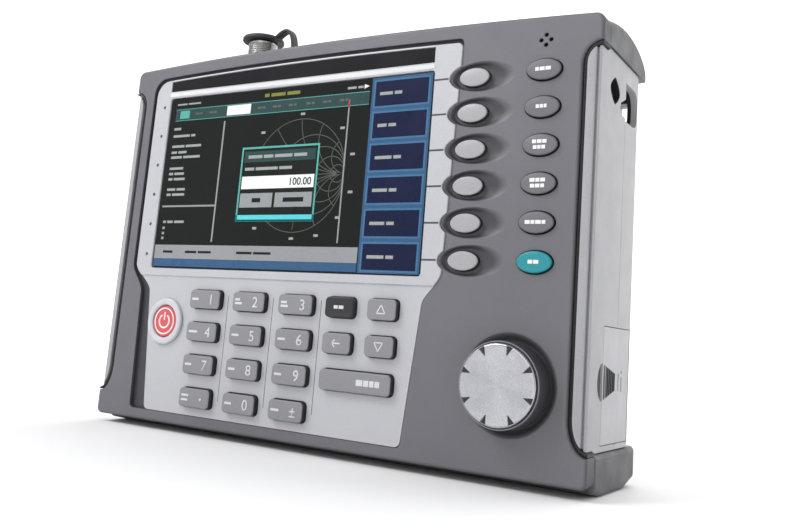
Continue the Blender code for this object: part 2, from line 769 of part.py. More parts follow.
def side_key_holes():
    """Holes for the soft keys and the function keys."""
    outlines = [oval(x, z, SOFT_WIDTH, SOFT_HEIGHT) for x, z in soft_places()]
    outlines += [oval(x, z, FUNCTION_WIDTH, FUNCTION_HEIGHT) for x, z in function_places()]
    holes = [slab("hole", grow(outline, GAP), -OVERRUN, FACE + OVERRUN) for outline in outlines]
    return pool("side_key_holes", holes)


def knob_dish():
    """The dish that the knob turns in, with the hole for its shaft."""
    profile = [
        (0, -FACE - OVERRUN),
        (SHAFT_RADIUS + GAP, -FACE - OVERRUN),
        (SHAFT_RADIUS + GAP, -DISH_DEPTH),
        (DISH_FLOOR_RADIUS, -DISH_DEPTH),
        (DISH_RADIUS, 0),
        (DISH_RADIUS, OVERRUN),
        (0, OVERRUN),
    ]
    return lathe("knob_dish", profile, (KNOB_X, 0, KNOB_Z), "front", segments=32)


def beeper_holes():
    """Four sound holes in a diamond."""
    spots = [(BEEPER_SPREAD, 0), (0, BEEPER_SPREAD), (-BEEPER_SPREAD, 0), (0, -BEEPER_SPREAD)]
    back = FACE + OVERRUN
    holes = [rod("hole", BEEPER_HOLE, BEEPER_X + x, BEEPER_Z + z, -OVERRUN, back, 6) for x, z in spots]
    return pool("beeper_holes", holes)


def make_control_plate():
    """The light panel: a proud screen part with a step down to the keypad part."""
    outline = plate_outline()
    edge = PLATE_PROUD / 2
    layers = [(grow(outline, -edge), -PLATE_PROUD), (outline, -PLATE_PROUD + edge), (outline, PLATE_BACK)]
    plate = skin("control_plate", front_rings(layers), SILVER)
    front, back = -PLATE_PROUD - OVERRUN, PLATE_BACK + OVERRUN
    below = box_outline(-HALF_WIDTH, HALF_WIDTH, -OVERRUN, PLATE_STEP)
    step = slab("plate_step", below, front, 0)
    window = slab(
        "glass_seat",
        box_outline(GLASS_LEFT - GAP, GLASS_RIGHT + GAP, GLASS_BOTTOM - GAP, GLASS_TOP + GAP, GLASS_CORNER),
        front,
        back,
    )
    strip = slab("strip_seat", grow(strip_outline(), GAP), front, STRIP_RECESS + GAP - PLATE_PROUD)
    rims = [slab("notch", scoop_rim(z, BOSS_RIM + GAP), front, back) for x, z in soft_places()]
    holes = [
        slab("hole", grow(key_outline(x, z, width), GAP), -OVERRUN, back)
        for name, x, z, width in keypad_keys()
    ]
    holes.append(rod("hole", POWER_RADIUS + GAP, POWER_X, POWER_Z, -OVERRUN, back, 20))
    dots = [rod("dot", DOT_RADIUS, DOT_X, z, front, DOT_DEPTH - PLATE_PROUD, 6) for x, z in soft_places()]
    cut(plate, step, window, strip, pool("rim_notches", rims))
    return cut(plate, pool("key_holes", holes), pool("dots", dots))


def strip_outline():
    """The name strip over the screen: straight below, crowned above."""
    top = crown_run(STRIP_RIGHT, STRIP_LEFT, STRIP_TOP, 7)
    return [(STRIP_LEFT, STRIP_BOTTOM), (STRIP_RIGHT, STRIP_BOTTOM)] + top


def make_screen():
    """The glass in its seat, the bare black strip above it and the display behind."""
    glass = box_outline(GLASS_LEFT, GLASS_RIGHT, GLASS_BOTTOM, GLASS_TOP, GLASS_CORNER)
    slab("screen_glass", glass, GLASS_FACE, PLATE_BACK, GLASS)
    slab("name_strip", strip_outline(), GAP - PLATE_PROUD, STRIP_RECESS - PLATE_PROUD, KEY_BLACK)
    display = box_outline(
        GLASS_LEFT - DISPLAY_MARGIN,
        GLASS_RIGHT + DISPLAY_MARGIN,
        GLASS_BOTTOM - DISPLAY_MARGIN,
        GLASS_TOP + DISPLAY_MARGIN - GAP,
        GLASS_CORNER,
    )
    slab("display_module", display, FACE + GAP, FACE + GAP + DISPLAY_THICKNESS, STEEL)


def key_rings(outline, proud, panel_back, dome=0):
    """Layers of a key: a flange behind the panel, a shank through it and a bevelled top."""
    flange = grow(outline, FLANGE_REACH)
    front = panel_back + GAP
    layers = [
        (flange, front + FLANGE),
        (flange, front),
        (outline, front),
        (outline, KEY_BEVEL - proud),
        (grow(outline, -KEY_BEVEL), -proud),
    ]
    if dome:
        layers.append((grow(outline, -4 * KEY_BEVEL), -proud - dome))
    return front_rings(layers)


def make_key(name, outline, x, z, proud, panel_back, material, dome=0):
    """One key, with its origin on its slide axis at the front face."""
    return smooth(skin(name, key_rings(outline, proud, panel_back, dome), material, place(x, 0, z)))


def make_keys():
    """The two columns of oval keys and the keypad."""
    for number, (x, z) in enumerate(soft_places(), 1):
        outline = oval(x, z, SOFT_WIDTH, SOFT_HEIGHT)
        make_key(f"soft_key_{number}", outline, x, z, SOFT_PROUD, FACE, KEY_SILVER, DOME)
    for number, (x, z) in enumerate(function_places(), 1):
        outline = oval(x, z, FUNCTION_WIDTH, FUNCTION_HEIGHT)
        material = KEY_TEAL if number == SOFT_ROWS else KEY_GREY
        make_key(f"function_key_{number}", outline, x, z, FUNCTION_PROUD, FACE, material, DOME)
    for name, x, z, width in keypad_keys():
        material = KEY_BLACK if name == "key_escape" else KEY_GREY
        make_key(name, key_outline(x, z, width), x, z, KEY_PROUD, PLATE_BACK, material)


def make_power():
    """The red power button in its raised ring."""
    back = -PLATE_BACK - GAP
    profile = [
        (0, back - FLANGE),
        (POWER_RADIUS + FLANGE_REACH, back - FLANGE),
        (POWER_RADIUS + FLANGE_REACH, back),
        (POWER_RADIUS, back),
        (POWER_RADIUS, POWER_PROUD - KEY_BEVEL),
        (POWER_RADIUS - KEY_BEVEL, POWER_PROUD),
        (0, POWER_PROUD),
    ]
    axis = (POWER_X, 0, POWER_Z)
    smooth(lathe("power_button", profile, axis, "front", RED, 20, place(*axis)))
    inner = POWER_RADIUS + GAP
    middle = (inner + POWER_RING) / 2
    ring = [
        (inner, GAP),
        (inner, POWER_PROUD),
        (middle, POWER_RING_PROUD),
        (POWER_RING - KEY_BEVEL, POWER_PROUD),
        (POWER_RING, GAP),
    ]
    smooth(lathe("power_ring", ring, axis, "front", KEY_SILVER, 24))


def make_knob():
    """The notched tuning knob with its skirt, on the shaft of the encoder."""
    axis = (KNOB_X, 0, KNOB_Z)
    origin = place(*axis)
    bore = KNOB_PROUD / 2
    profile = [
        (0, GAP - DISH_DEPTH),
        (SKIRT_RADIUS, GAP - DISH_DEPTH),
        (SKIRT_RADIUS, GAP - DISH_DEPTH + SKIRT_DEPTH),
        (KNOB_RADIUS, SKIRT_DEPTH + 2 * GAP - DISH_DEPTH),
        (KNOB_FACE_RADIUS + KNOB_BEVEL, KNOB_PROUD - KNOB_BEVEL),
        (KNOB_FACE_RADIUS, KNOB_PROUD),
        (0, KNOB_PROUD),
    ]
    knob = smooth(lathe("tuning_knob", profile, axis, "front", KEY_SILVER, 40, origin))
    notches = []
    for number in range(KNOB_NOTCHES):
        angle = math.radians(NOTCH_START) + 2 * math.pi * number / KNOB_NOTCHES
        inner, outer = KNOB_RADIUS - NOTCH_LENGTH, KNOB_RADIUS + NOTCH_WIDTH
        wedge = [(inner, 0), (outer, -NOTCH_WIDTH), (outer, NOTCH_WIDTH)]
        turned = [
            (
                KNOB_X + r * math.cos(angle) - s * math.sin(angle),
                KNOB_Z + r * math.sin(angle) + s * math.cos(angle),
            )
            for r, s in wedge
        ]
        notches.append(slab("notch", turned, -KNOB_PROUD - OVERRUN, NOTCH_DEPTH - KNOB_PROUD))
    socket = rod("knob_socket", SHAFT_RADIUS + GAP, KNOB_X, KNOB_Z, -bore - GAP, OVERRUN, 16)
    cut(knob, pool("knob_notches", notches), socket)
    shaft_end = FACE + GAP + ENCODER_DEPTH * 3 / 4
    shaft = [(0, -shaft_end), (SHAFT_RADIUS, -shaft_end), (SHAFT_RADIUS, bore), (0, bore)]
    smooth(lathe("encoder_shaft", shaft, axis, "front", STEEL, 16, origin))
    body = centred(KNOB_X, KNOB_Z, ENCODER_SIDE, ENCODER_SIDE, KEY_CORNER, 2)
    encoder = slab("encoder_body", body, FACE + GAP, FACE + GAP + ENCODER_DEPTH, STEEL)
    cut(encoder, rod("encoder_bore", SHAFT_RADIUS + GAP, KNOB_X, KNOB_Z, 0, shaft_end + GAP, 16))


def make_boards():
    """Key mats, boards, beeper and radio module behind the front case."""
    reach = KEY_HEIGHT / 2 + FLANGE_REACH + KEYPAD_MARGIN + MAT_MARGIN
    right = ARROW_X + ARROW_WIDTH / 2 + FLANGE_REACH + KEYPAD_MARGIN + MAT_MARGIN
    low = KEY_TOP_ROW - 3 * ROW_PITCH - reach
    pad = box_outline(MAT_LEFT, right, low, KEY_TOP_ROW + reach, KEY_CORNER, 2)
    mat_front = FACE + GAP
    slab("keypad_mat", pad, mat_front, mat_front + MAT, GRAPHITE)
    board_front = mat_front + MAT + GAP
    slab("keypad_board", pad, board_front, board_front + BOARD, BOARD_GREEN)
    side_front = FACE + GAP + FLANGE + KEY_TRAVEL + GAP
    left = SOFT_X - SOFT_WIDTH / 2 - FLANGE_REACH
    right = SCREW_X - POST_RADIUS - GAP
    low = SOFT_TOP_ROW - (SOFT_ROWS - 1) * ROW_PITCH - reach + MAT_MARGIN
    side = box_outline(left, right, low, SOFT_TOP_ROW + reach - MAT_MARGIN, KEY_CORNER, 2)
    slab("side_key_mat", side, side_front, side_front + MAT, GRAPHITE)
    main = box_outline(-BOARD_HALF_WIDTH, BOARD_HALF_WIDTH, BOARD_BOTTOM, BOARD_TOP, KEY_CORNER, 2)
    board = slab("main_board", main, BOARD_DEPTH, BOARD_DEPTH + BOARD, BOARD_GREEN)
    front, back = BOARD_DEPTH - OVERRUN, BOARD_DEPTH + BOARD + OVERRUN
    cut(board, pool("board_holes", [rod("hole", SCREW_HOLE, x, z, front, back, 8) for x, z in screw_places()]))
    can = [(0, -BEEPER_DEPTH), (BEEPER_RADIUS, -BEEPER_DEPTH), (BEEPER_RADIUS, 0), (0, 0)]
    smooth(lathe("beeper", can, (BEEPER_X, FACE + GAP, BEEPER_Z), "front", KEY_BLACK, 16))
    top = HOUSING_TOP - HOUSING_WALL - GAP
    module = box_outline(MODULE_LEFT, MODULE_RIGHT, MODULE_BOTTOM, top, KEY_CORNER, 2)
    slab("radio_module", module, BOARD_DEPTH + BOARD + GAP, MODULE_BACK, STEEL)


def housing_plan():
    """The housing seen from above: narrow where the side covers lie on it, full behind them."""
    step = COVER_BACK + GAP
    centre = (COVER_HALF_WIDTH - REAR_CORNER, HOUSING_BACK - REAR_CORNER)
    half = [(HOUSING_HALF_WIDTH, FRONT_DEPTH + GAP), (HOUSING_HALF_WIDTH, step), (COVER_HALF_WIDTH, step)]
    half += arc(centre, (REAR_CORNER, REAR_CORNER), 0, 90, 6)
    return half + [(-x, depth) for x, depth in reversed(half)]


def hollow_plan():
    """The inside of the housing seen from above."""
    wide = HOUSING_HALF_WIDTH - HOUSING_WALL
    back = HOUSING_BACK - HOUSING_WALL
    radius = REAR_CORNER - HOUSING_WALL
    corner = arc((wide - radius, back - radius), (radius, radius), 0, 90, 4)
    half = [(wide, FRONT_DEPTH - OVERRUN)] + corner
    return half + [(-x, depth) for x, depth in reversed(half)]


def block(name, left, right, front, back, bottom, top, material=None):
    """A rectangular block."""
    return slab(name, box_outline(left, right, bottom, top), front, back, material)


def eye_outline(front, back, height):
    """A strap eyelet's pocket in the side view: a lens with blunt ends."""
    corners = [(front, -height / 2), (back, -height / 2), (back, height / 2), (front, height / 2)]
    return rounded([(depth, EYE_Z + z, height * 2 / 5) for depth, z in corners], 5)


def eye_tools(side):
    """The pocket of one strap eyelet in the housing, with its way out through the back."""
    inner, outer = COVER_HALF_WIDTH - EYE_DEPTH, COVER_HALF_WIDTH + OVERRUN
    outline = eye_outline(EYE_FRONT, EYE_BACK, EYE_HEIGHT)
    pocket = side_prism("eye_pocket", outline, side * inner, side * outer)
    back, half = HOUSING_BACK + OVERRUN, EYE_EXIT_HEIGHT / 2
    near, far = sorted((side * inner, side * (inner + EYE_EXIT_WIDTH)))
    slot = block("eye_exit", near, far, EYE_BACK - OVERRUN, back, EYE_Z - half, EYE_Z + half)
    return pocket, slot


def make_housing():
    """The light rear moulding that carries everything: walls, bosses, well, eyelets and bay."""
    housing = plan_prism("housing", housing_plan(), HOUSING_BOTTOM, HOUSING_TOP, LIGHT)
    floor, ceiling = HOUSING_BOTTOM + HOUSING_WALL, HOUSING_TOP - HOUSING_WALL
    cut(housing, plan_prism("housing_hollow", hollow_plan(), floor, ceiling))
    inside = HOUSING_BACK - HOUSING_WALL + JOIN
    bosses = [rod("boss", BOSS, x, z, BOARD_DEPTH + BOARD + GAP, inside) for x, z in screw_places()]
    join(housing, pool("bosses", bosses))
    well_front = HOUSING_BACK - WELL_DEPTH - WELL_WALL
    reach = WELL_HALF_WIDTH + WELL_WALL
    low, high = WELL_BOTTOM - WELL_WALL, WELL_TOP + WELL_WALL
    join(housing, block("well_walls", -reach, reach, well_front, inside, low, high))
    for side in (-1, 1):
        near, far = sorted((side * EYE_BLOCK_INNER, side * (HOUSING_HALF_WIDTH - JOIN)))
        low = EYE_Z - EYE_BLOCK_HALF
        join(housing, block("eye_block", near, far, EYE_BLOCK_FRONT, inside, low, ceiling + JOIN))
        cut(housing, *eye_tools(side))
    screw_holes = [rod("hole", SCREW_HOLE, x, z, 0, HOUSING_BACK, 8) for x, z in screw_places()]
    sinks = [
        rod("sink", SCREW_SINK_RADIUS, x, z, HOUSING_BACK - SCREW_SINK, HOUSING_BACK + OVERRUN, 12)
        for x, z in screw_places()
    ]
    cut(housing, pool("screw_holes", screw_holes), pool("screw_sinks", sinks))
    cut(housing, stand_well(), hinge_holes(), door_seat(), trunnion_sockets(), bay_mouth())
    return cut(housing, port_hole(), vents())


def stand_well():
    """The shallow well in the back that the stand folds into."""
    outline = box_outline(-WELL_HALF_WIDTH, WELL_HALF_WIDTH, WELL_BOTTOM, WELL_TOP, STAND_CORNER)
    return slab("stand_well", outline, HOUSING_BACK - WELL_DEPTH, HOUSING_BACK + OVERRUN)


def hinge_holes():
    """Blind holes in the well's sides for the ends of the stand's pin."""
    reach = WELL_HALF_WIDTH + WELL_WALL / 2 + GAP
    centre = (HINGE_DEPTH, HINGE_Z)
    ring = arc(centre, (PIN + GAP, PIN + GAP), 0, 360 * 11 / 12, 12)
    return side_prism("hinge_holes", ring, -reach, reach)


def door_seat():
    """The seat of the battery door's rear part."""
    return block(
        "door_seat",
        COVER_HALF_WIDTH - DOOR_THICKNESS - GAP,
        COVER_HALF_WIDTH + OVERRUN,
        COVER_BACK - OVERRUN,
        DOOR_BACK + GAP,
        DOOR_BOTTOM - GAP,
        DOOR_TOP + GAP,
    )


def door_axis():
    """(x, depth) of the upright hinge of the battery door."""
    return COVER_HALF_WIDTH - DOOR_THICKNESS / 2, DOOR_BACK - DOOR_THICKNESS / 2


def trunnion_sockets():
    """Sockets above and below the door seat for the door's stubs."""
    reach = TRUNNION_LENGTH + 2 * GAP
    ring = arc(door_axis(), (TRUNNION + GAP, TRUNNION + GAP), 0, 315, 8)
    return plan_prism("trunnion_sockets", ring, DOOR_BOTTOM - reach, DOOR_TOP + reach)


def bay_mouth():
    """The mouth of the battery bay behind the door."""
    inner = HOUSING_HALF_WIDTH - HOUSING_WALL - OVERRUN
    outer = COVER_HALF_WIDTH - DOOR_THICKNESS
    low, high = DOOR_BOTTOM + BAY_MARGIN, DOOR_TOP - BAY_MARGIN
    return block("bay_mouth", inner, outer, DOOR_FRONT + BAY_MARGIN, DOOR_BACK - BAY_MARGIN, low, high)


def port_hole():
    """The hole in the housing's top for the tail of the test port."""
    profile = [
        (0, -OVERRUN - HOUSING_WALL),
        (PORT_TAIL + GAP, -OVERRUN - HOUSING_WALL),
        (PORT_TAIL + GAP, OVERRUN),
        (0, OVERRUN),
    ]
    return lathe("port_hole", profile, (PORT_X, PORT_DEPTH, HOUSING_TOP), "up", segments=12)


def vents():
    """Two banks of slots in the back, over the warm parts."""
    slots = []
    for side in (-1, 1):
        for number in range(VENTS):
            z = VENT_Z + VENT_PITCH * (number - (VENTS - 1) / 2)
            outline = centred(side * VENT_X, z, VENT_LENGTH, VENT_WIDTH)
            front = HOUSING_BACK - HOUSING_WALL - OVERRUN
            slots.append(slab("slot", outline, front, HOUSING_BACK + OVERRUN))
    return pool("vents", slots)


def cover_section(side):
    """A side cover seen from above: a crowned front strip, a corner groove and the side wall."""
    inner = WAIST - OVERRUN
    edge = COVER_HALF_WIDTH - CORNER_GROOVE
    wall = COVER_HALF_WIDTH - COVER_WALL
    root = COVER_WALL + GASKET_FACE
    points = [(inner, GASKET_FACE)]
    points += arc(((inner + edge) / 2, GASKET_FACE), ((edge - inner) / 2, GASKET_FACE), 240, 360, 7)
    points += [
        (edge, GASKET_FACE + CORNER_GROOVE / 2),
        (COVER_HALF_WIDTH, GASKET_FACE + 3 * CORNER_GROOVE / 2),
        (COVER_HALF_WIDTH, COVER_BACK),
        (wall, COVER_BACK),
        (wall, root),
        (inner, root),
    ]
    return [(side * x, depth) for x, depth in points]


def make_side_cover(name, side):
    """A light cover over one side, fitted round the waist of the front case."""
    cover = plan_prism(name, cover_section(side), HOUSING_BOTTOM, HOUSING_TOP, LIGHT)
    waist = slab("waist_cut", grow(front_outline(), 2 * GAP + GASKET), -OVERRUN, FRONT_DEPTH + GAP)
    inner, outer = sorted((side * (HOUSING_HALF_WIDTH - OVERRUN), side * (COVER_HALF_WIDTH + OVERRUN)))
    front_eye = eye_outline(EYE_FRONT, EYE_BAR_FRONT, EYE_FRONT_HEIGHT)
    rear_eye = eye_outline(EYE_BAR_BACK, EYE_BACK, EYE_HEIGHT)
    cut(cover, waist, *[side_prism("eye", outline, inner, outer) for outline in (front_eye, rear_eye)])
    if side > 0:
        low, high = DOOR_BOTTOM - GAP, DOOR_TOP + GAP
        cut(cover, block("door_notch", inner, outer, DOOR_FRONT - GAP, COVER_BACK + OVERRUN, low, high))
        lens = arc((DOOR_FRONT, THUMB_Z), (THUMB_WIDTH, THUMB_HEIGHT / 2), 90, 270, 9)
        floor = COVER_HALF_WIDTH - THUMB_DEPTH
        cut(cover, side_prism("thumb_notch", lens, floor, outer))
    return cover


def make_gasket(name, side):
    """The elastomer seal along one side of the waist."""
    near = [(side * x, z) for x, z in grow(front_outline(), GAP)[5:15]]
    far = [(side * x, z) for x, z in grow(front_outline(), GAP + GASKET)[5:15]]
    return slab(name, near + list(reversed(far)), GASKET_FACE, GASKET_BACK, GRAPHITE)


def cap_ring(x, wall):
    """Cross-section of the top cap at x: flat below, falling to the rear, and arched near the ends."""
    end = HALF_WIDTH - wall
    into = max(0, abs(x) - (end - TOP_CORNER))
    drop = TOP_CORNER - math.sqrt(max(0, TOP_CORNER ** 2 - into ** 2))
    bottom = HOUSING_TOP + GAP - (OVERRUN if wall else 0)
    top = crown(x) - wall - drop
    rise = CAP_ARCH * min(1, max(0, abs(x) - (HALF_WIDTH - ARCH_START)) / ARCH_RUN)
    height = top + rise - bottom
    back = CASE_DEPTH - wall - drop / 2
    front = FRONT_DEPTH + GAP + wall
    rear = arc((ARCH_CREST, bottom + height / 8), (back - ARCH_CREST, height * 7 / 8), 0, 90, 7)
    fore = [(ARCH_CREST - (ARCH_CREST - front) * step / 3, top + rise * math.cos(math.pi / 2 * step / 3))
            for step in (1, 2, 3)]
    return [place(x, depth, z) for depth, z in [(front, bottom), (back, bottom)] + rear + fore]


def cap_stations(wall):
    """Stations across the top cap, closer together round its ends."""
    end = HALF_WIDTH - wall
    turn = [end - TOP_CORNER + TOP_CORNER * math.sin(math.radians(90 * k / 4)) for k in range(5)]
    middle = [(end - TOP_CORNER) * k / 4 for k in range(-3, 4)]
    return [-x for x in reversed(turn)] + middle + turn


def make_top_cap():
    """The dark cap over the top, hollow below, with holes for the port and the sockets."""
    cap = skin("top_cap", [cap_ring(x, 0) for x in cap_stations(0)], DARK)
    hollow = skin("cap_hollow", [cap_ring(x, CAP_WALL) for x in cap_stations(CAP_WALL)], None)
    cut(cap, hollow)
    reach = TOP - HOUSING_TOP + OVERRUN
    holes = []
    for x, depth, radius in (
        (PORT_X, PORT_DEPTH, PORT_COLLAR + GAP),
        (JACK_X, SOCKET_DEPTH, JACK_RADIUS + GAP),
    ):
        profile = [(0, 0), (radius, 0), (radius, reach), (0, reach)]
        holes.append(lathe("hole", profile, (x, depth, HOUSING_TOP), "up", segments=24))
    half_width, half_height = USB_WIDTH / 2 + GAP, USB_HEIGHT / 2 + GAP
    holes.append(
        block(
            "hole",
            USB_X - half_width,
            USB_X + half_width,
            SOCKET_DEPTH - half_height,
            SOCKET_DEPTH + half_height,
            HOUSING_TOP,
            HOUSING_TOP + reach,
        )
    )
    return smooth(cut(cap, pool("cap_holes", holes)), 30)


def make_bottom_cap():
    """The dark cap under the case, with the flat base that it stands on."""
    top = HOUSING_BOTTOM - GAP
    front = FRONT_DEPTH + GAP
    rise = FRONT_FOOT * (BASE_FRONT - front) / BASE_FRONT
    outline = [
        (front, rise),
        (BASE_FRONT, 0),
        (BASE_BACK, 0),
        (CASE_DEPTH, KEEL_BACK),
        (CASE_DEPTH, top),
        (front, top),
    ]
    half = HALF_WIDTH - CAP_BEVEL
    stations = [(-HALF_WIDTH, -CAP_BEVEL), (-half, 0), (half, 0), (HALF_WIDTH, -CAP_BEVEL)]
    rings = [[place(x, depth, z) for depth, z in grow(outline, inset)] for x, inset in stations]
    cap = skin("bottom_cap", rings, DARK)
    inside = [
        (front + CAP_WALL, rise + CAP_WALL),
        (BASE_FRONT, CAP_WALL),
        (BASE_BACK, CAP_WALL),
        (CASE_DEPTH - CAP_WALL, KEEL_BACK + CAP_WALL),
        (CASE_DEPTH - CAP_WALL, top + OVERRUN),
        (front + CAP_WALL, top + OVERRUN),
    ]
    half = HALF_WIDTH - CAP_WALL
    return cut(cap, side_prism("bottom_hollow", inside, -half, half))


def make_battery():
    """The battery pack in its bay, behind a door that swings on two stubs."""
    right = HOUSING_HALF_WIDTH - HOUSING_WALL - GAP
    back = HOUSING_BACK - WELL_DEPTH - WELL_WALL - GAP
    low = HOUSING_BOTTOM + HOUSING_WALL + GAP
    left = right - BATTERY_LENGTH
    outline = box_outline(left, right, low, low + BATTERY_HEIGHT, KEY_CORNER, 3)
    slab("battery_pack", outline, back - BATTERY_DEPTH, back, BLUE)
    axis_x, axis_depth = door_axis()
    half = DOOR_THICKNESS / 2
    plan = arc((axis_x, axis_depth), (half, half), 0, 180, 7)
    plan += [(axis_x - half, DOOR_FRONT), (axis_x + half, DOOR_FRONT)]
    origin = place(axis_x, axis_depth, DOOR_BOTTOM)
    rings = [[place(x, depth, z) for x, depth in plan] for z in (DOOR_BOTTOM, DOOR_TOP)]
    door = skin("battery_door", rings, LIGHT, origin)
    ring = arc((axis_x, axis_depth), (TRUNNION, TRUNNION), 0, 315, 8)
    join(door, plan_prism("trunnions", ring, DOOR_BOTTOM - TRUNNION_LENGTH, DOOR_TOP + TRUNNION_LENGTH))
    grooves = []
    for number in range(RIBS):
        share = number / (RIBS - 1)
        height = RIB_LONG + (RIB_SHORT - RIB_LONG) * share
        front = RIB_FIRST + RIB_PITCH * number
        outer, inner = COVER_HALF_WIDTH + OVERRUN, COVER_HALF_WIDTH - RIB_DEPTH
        low = THUMB_Z - height / 2
        grooves.append(block("groove", inner, outer, front, front + RIB_WIDTH, low, low + height))
    return cut(door, pool("grip_grooves", grooves))


def make_stand():
    """The folding stand in the well of the back, on its steel pin."""
    front = HINGE_DEPTH - STAND_THICKNESS / 2
    back = HINGE_DEPTH + STAND_THICKNESS / 2
    top = HINGE_Z
    corners = [
        (-STAND_HALF_WIDTH, STAND_BOTTOM, STAND_CORNER),
        (STAND_HALF_WIDTH, STAND_BOTTOM, STAND_CORNER),
        (STAND_HALF_WIDTH, top, 0),
        (-STAND_HALF_WIDTH, top, 0),
    ]
    outline = rounded(corners, 5)
    stand = slab("stand", outline, front, back, DARK, place(0, HINGE_DEPTH, HINGE_Z))
    barrel = arc((HINGE_DEPTH, HINGE_Z), (BARREL, BARREL), 0, 345, 24)
    join(stand, side_prism("stand_barrel", barrel, -STAND_HALF_WIDTH, STAND_HALF_WIDTH))
    panel = box_outline(
        STAND_FRAME - STAND_HALF_WIDTH,
        STAND_HALF_WIDTH - STAND_FRAME,
        STAND_BOTTOM + STAND_FRAME,
        HINGE_Z - STAND_FRAME - BARREL,
        STAND_CORNER / 2,
    )
    relief = slab("stand_relief", panel, back - STAND_RELIEF, back + OVERRUN)
    bore = arc((HINGE_DEPTH, HINGE_Z), (PIN + GAP, PIN + GAP), 0, 330, 12)
    reach = STAND_HALF_WIDTH + OVERRUN
    cut(stand, relief, side_prism("stand_bore", bore, -reach, reach))
    pin = arc((HINGE_DEPTH, HINGE_Z), (PIN, PIN), 0, 330, 12)
    half = WELL_HALF_WIDTH + WELL_WALL / 2
    smooth(side_prism("stand_pin", pin, -half, half, STEEL))


def make_port():
    """The coaxial test port in the top, and its rubber dust cap with a tether."""
    foot = HOUSING_TOP + GAP
    tail = HOUSING_TOP - HOUSING_WALL - foot
    shoulder, mouth = PORT_COLLAR_TOP - foot, PORT_TOP - foot
    profile = [
        (0, tail),
        (PORT_TAIL, tail),
        (PORT_TAIL, 0),
        (PORT_COLLAR, 0),
        (PORT_COLLAR, shoulder),
        (PORT_RADIUS, shoulder),
        (PORT_RADIUS, mouth),
        (PORT_BORE, mouth),
        (PORT_BORE, mouth - PORT_BORE_DEPTH),
        (PORT_PIN, mouth - PORT_BORE_DEPTH),
        (PORT_PIN, mouth - PORT_BORE_DEPTH / 5),
        (0, mouth - PORT_BORE_DEPTH / 5),
    ]
    axis = (PORT_X, PORT_DEPTH, foot)
    smooth(lathe("test_port", profile, axis, "up", STEEL, 24))
    low = mouth + GAP
    plug = PORT_BORE - GAP
    socket = plug - CAP_PLUG_WALL
    cap = [
        (0, low + CAP_BRIM_THICKNESS / 2),
        (socket, low + CAP_BRIM_THICKNESS / 2),
        (socket, low - CAP_PLUG_DEPTH),
        (plug, low - CAP_PLUG_DEPTH),
        (plug, low),
        (CAP_BRIM, low),
        (CAP_BRIM, low + CAP_BRIM_THICKNESS),
        (0, low + CAP_BRIM_THICKNESS),
    ]
    lid = lathe("port_cap", cap, axis, "up", GRAPHITE, 24, place(*axis))
    join(lid, tether(PORT_TOP + GAP))
    return smooth(lid)


def tether(height):
    """The flat strap from the dust cap over to the case, as one swept band."""
    start = (PORT_X + CAP_BRIM - TETHER_THICKNESS, height + CAP_BRIM_THICKNESS / 2)
    end = (PORT_X + TETHER_REACH, crown(PORT_X + TETHER_REACH) + GAP)
    handles = [
        start,
        (start[0] + (end[0] - start[0]) * 3 / 5, start[1] + TETHER_RISE),
        (end[0], start[1] + TETHER_RISE),
        end,
    ]
    count = 10
    path = []
    for step in range(count):
        t = step / (count - 1)
        weights = ((1 - t) ** 3, 3 * t * (1 - t) ** 2, 3 * t ** 2 * (1 - t), t ** 3)
        path.append(tuple(sum(w * handle[k] for w, handle in zip(weights, handles)) for k in (0, 1)))
    half = TETHER_THICKNESS / 2
    above, below = [], []
    for index, (x, z) in enumerate(path):
        before, after = path[max(0, index - 1)], path[min(count - 1, index + 1)]
        length = math.hypot(after[0] - before[0], after[1] - before[1])
        across = (-(after[1] - before[1]) / length * half, (after[0] - before[0]) / length * half)
        above.append((x + across[0], z + across[1]))
        below.append((x - across[0], z - across[1]))
    outline = above + list(reversed(below))
    return slab("tether_band", outline, PORT_DEPTH - TETHER_WIDTH / 2, PORT_DEPTH + TETHER_WIDTH / 2)


def make_sockets():
    """The supply jack and the data socket, sunk in the top."""
    foot = HOUSING_TOP + GAP
    height = crown(JACK_X) - SOCKET_SINK - foot
    profile = [
        (0, 0),
        (JACK_RADIUS, 0),
        (JACK_RADIUS, height),
        (JACK_BORE, height),
        (JACK_BORE, height - JACK_BORE_DEPTH),
        (JACK_PIN, height - JACK_BORE_DEPTH),
        (JACK_PIN, height - JACK_PIN),
        (0, height - JACK_PIN),
    ]
    smooth(lathe("supply_jack", profile, (JACK_X, SOCKET_DEPTH, foot), "up", KEY_BLACK, 20))
    top = crown(USB_X) - SOCKET_SINK
    half_width, half_height = USB_WIDTH / 2, USB_HEIGHT / 2
    socket = block(
        "data_socket",
        USB_X - half_width,
        USB_X + half_width,
        SOCKET_DEPTH - half_height,
        SOCKET_DEPTH + half_height,
        foot,
        top,
        STEEL,
    )
    half_width, half_height = USB_MOUTH_WIDTH / 2, USB_MOUTH_HEIGHT / 2
    mouth = block(
        "data_mouth",
        USB_X - half_width,
        USB_X + half_width,
        SOCKET_DEPTH - half_height,
        SOCKET_DEPTH + half_height,
        top - USB_MOUTH_DEPTH,
        top + OVERRUN,
    )
    return cut(socket, mouth)


clear_scene()
make_front_case()
make_control_plate()
make_screen()
make_keys()
make_power()
make_knob()
make_boards()
make_housing()
make_side_cover("side_cover_left", -1)
make_side_cover("side_cover_right", 1)
make_gasket("gasket_left", -1)
make_gasket("gasket_right", 1)
make_top_cap()
make_bottom_cap()
make_battery()
make_stand()
make_port()
make_sockets()
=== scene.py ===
import math

import bmesh
import bpy
import numpy as np
from mathutils import Matrix


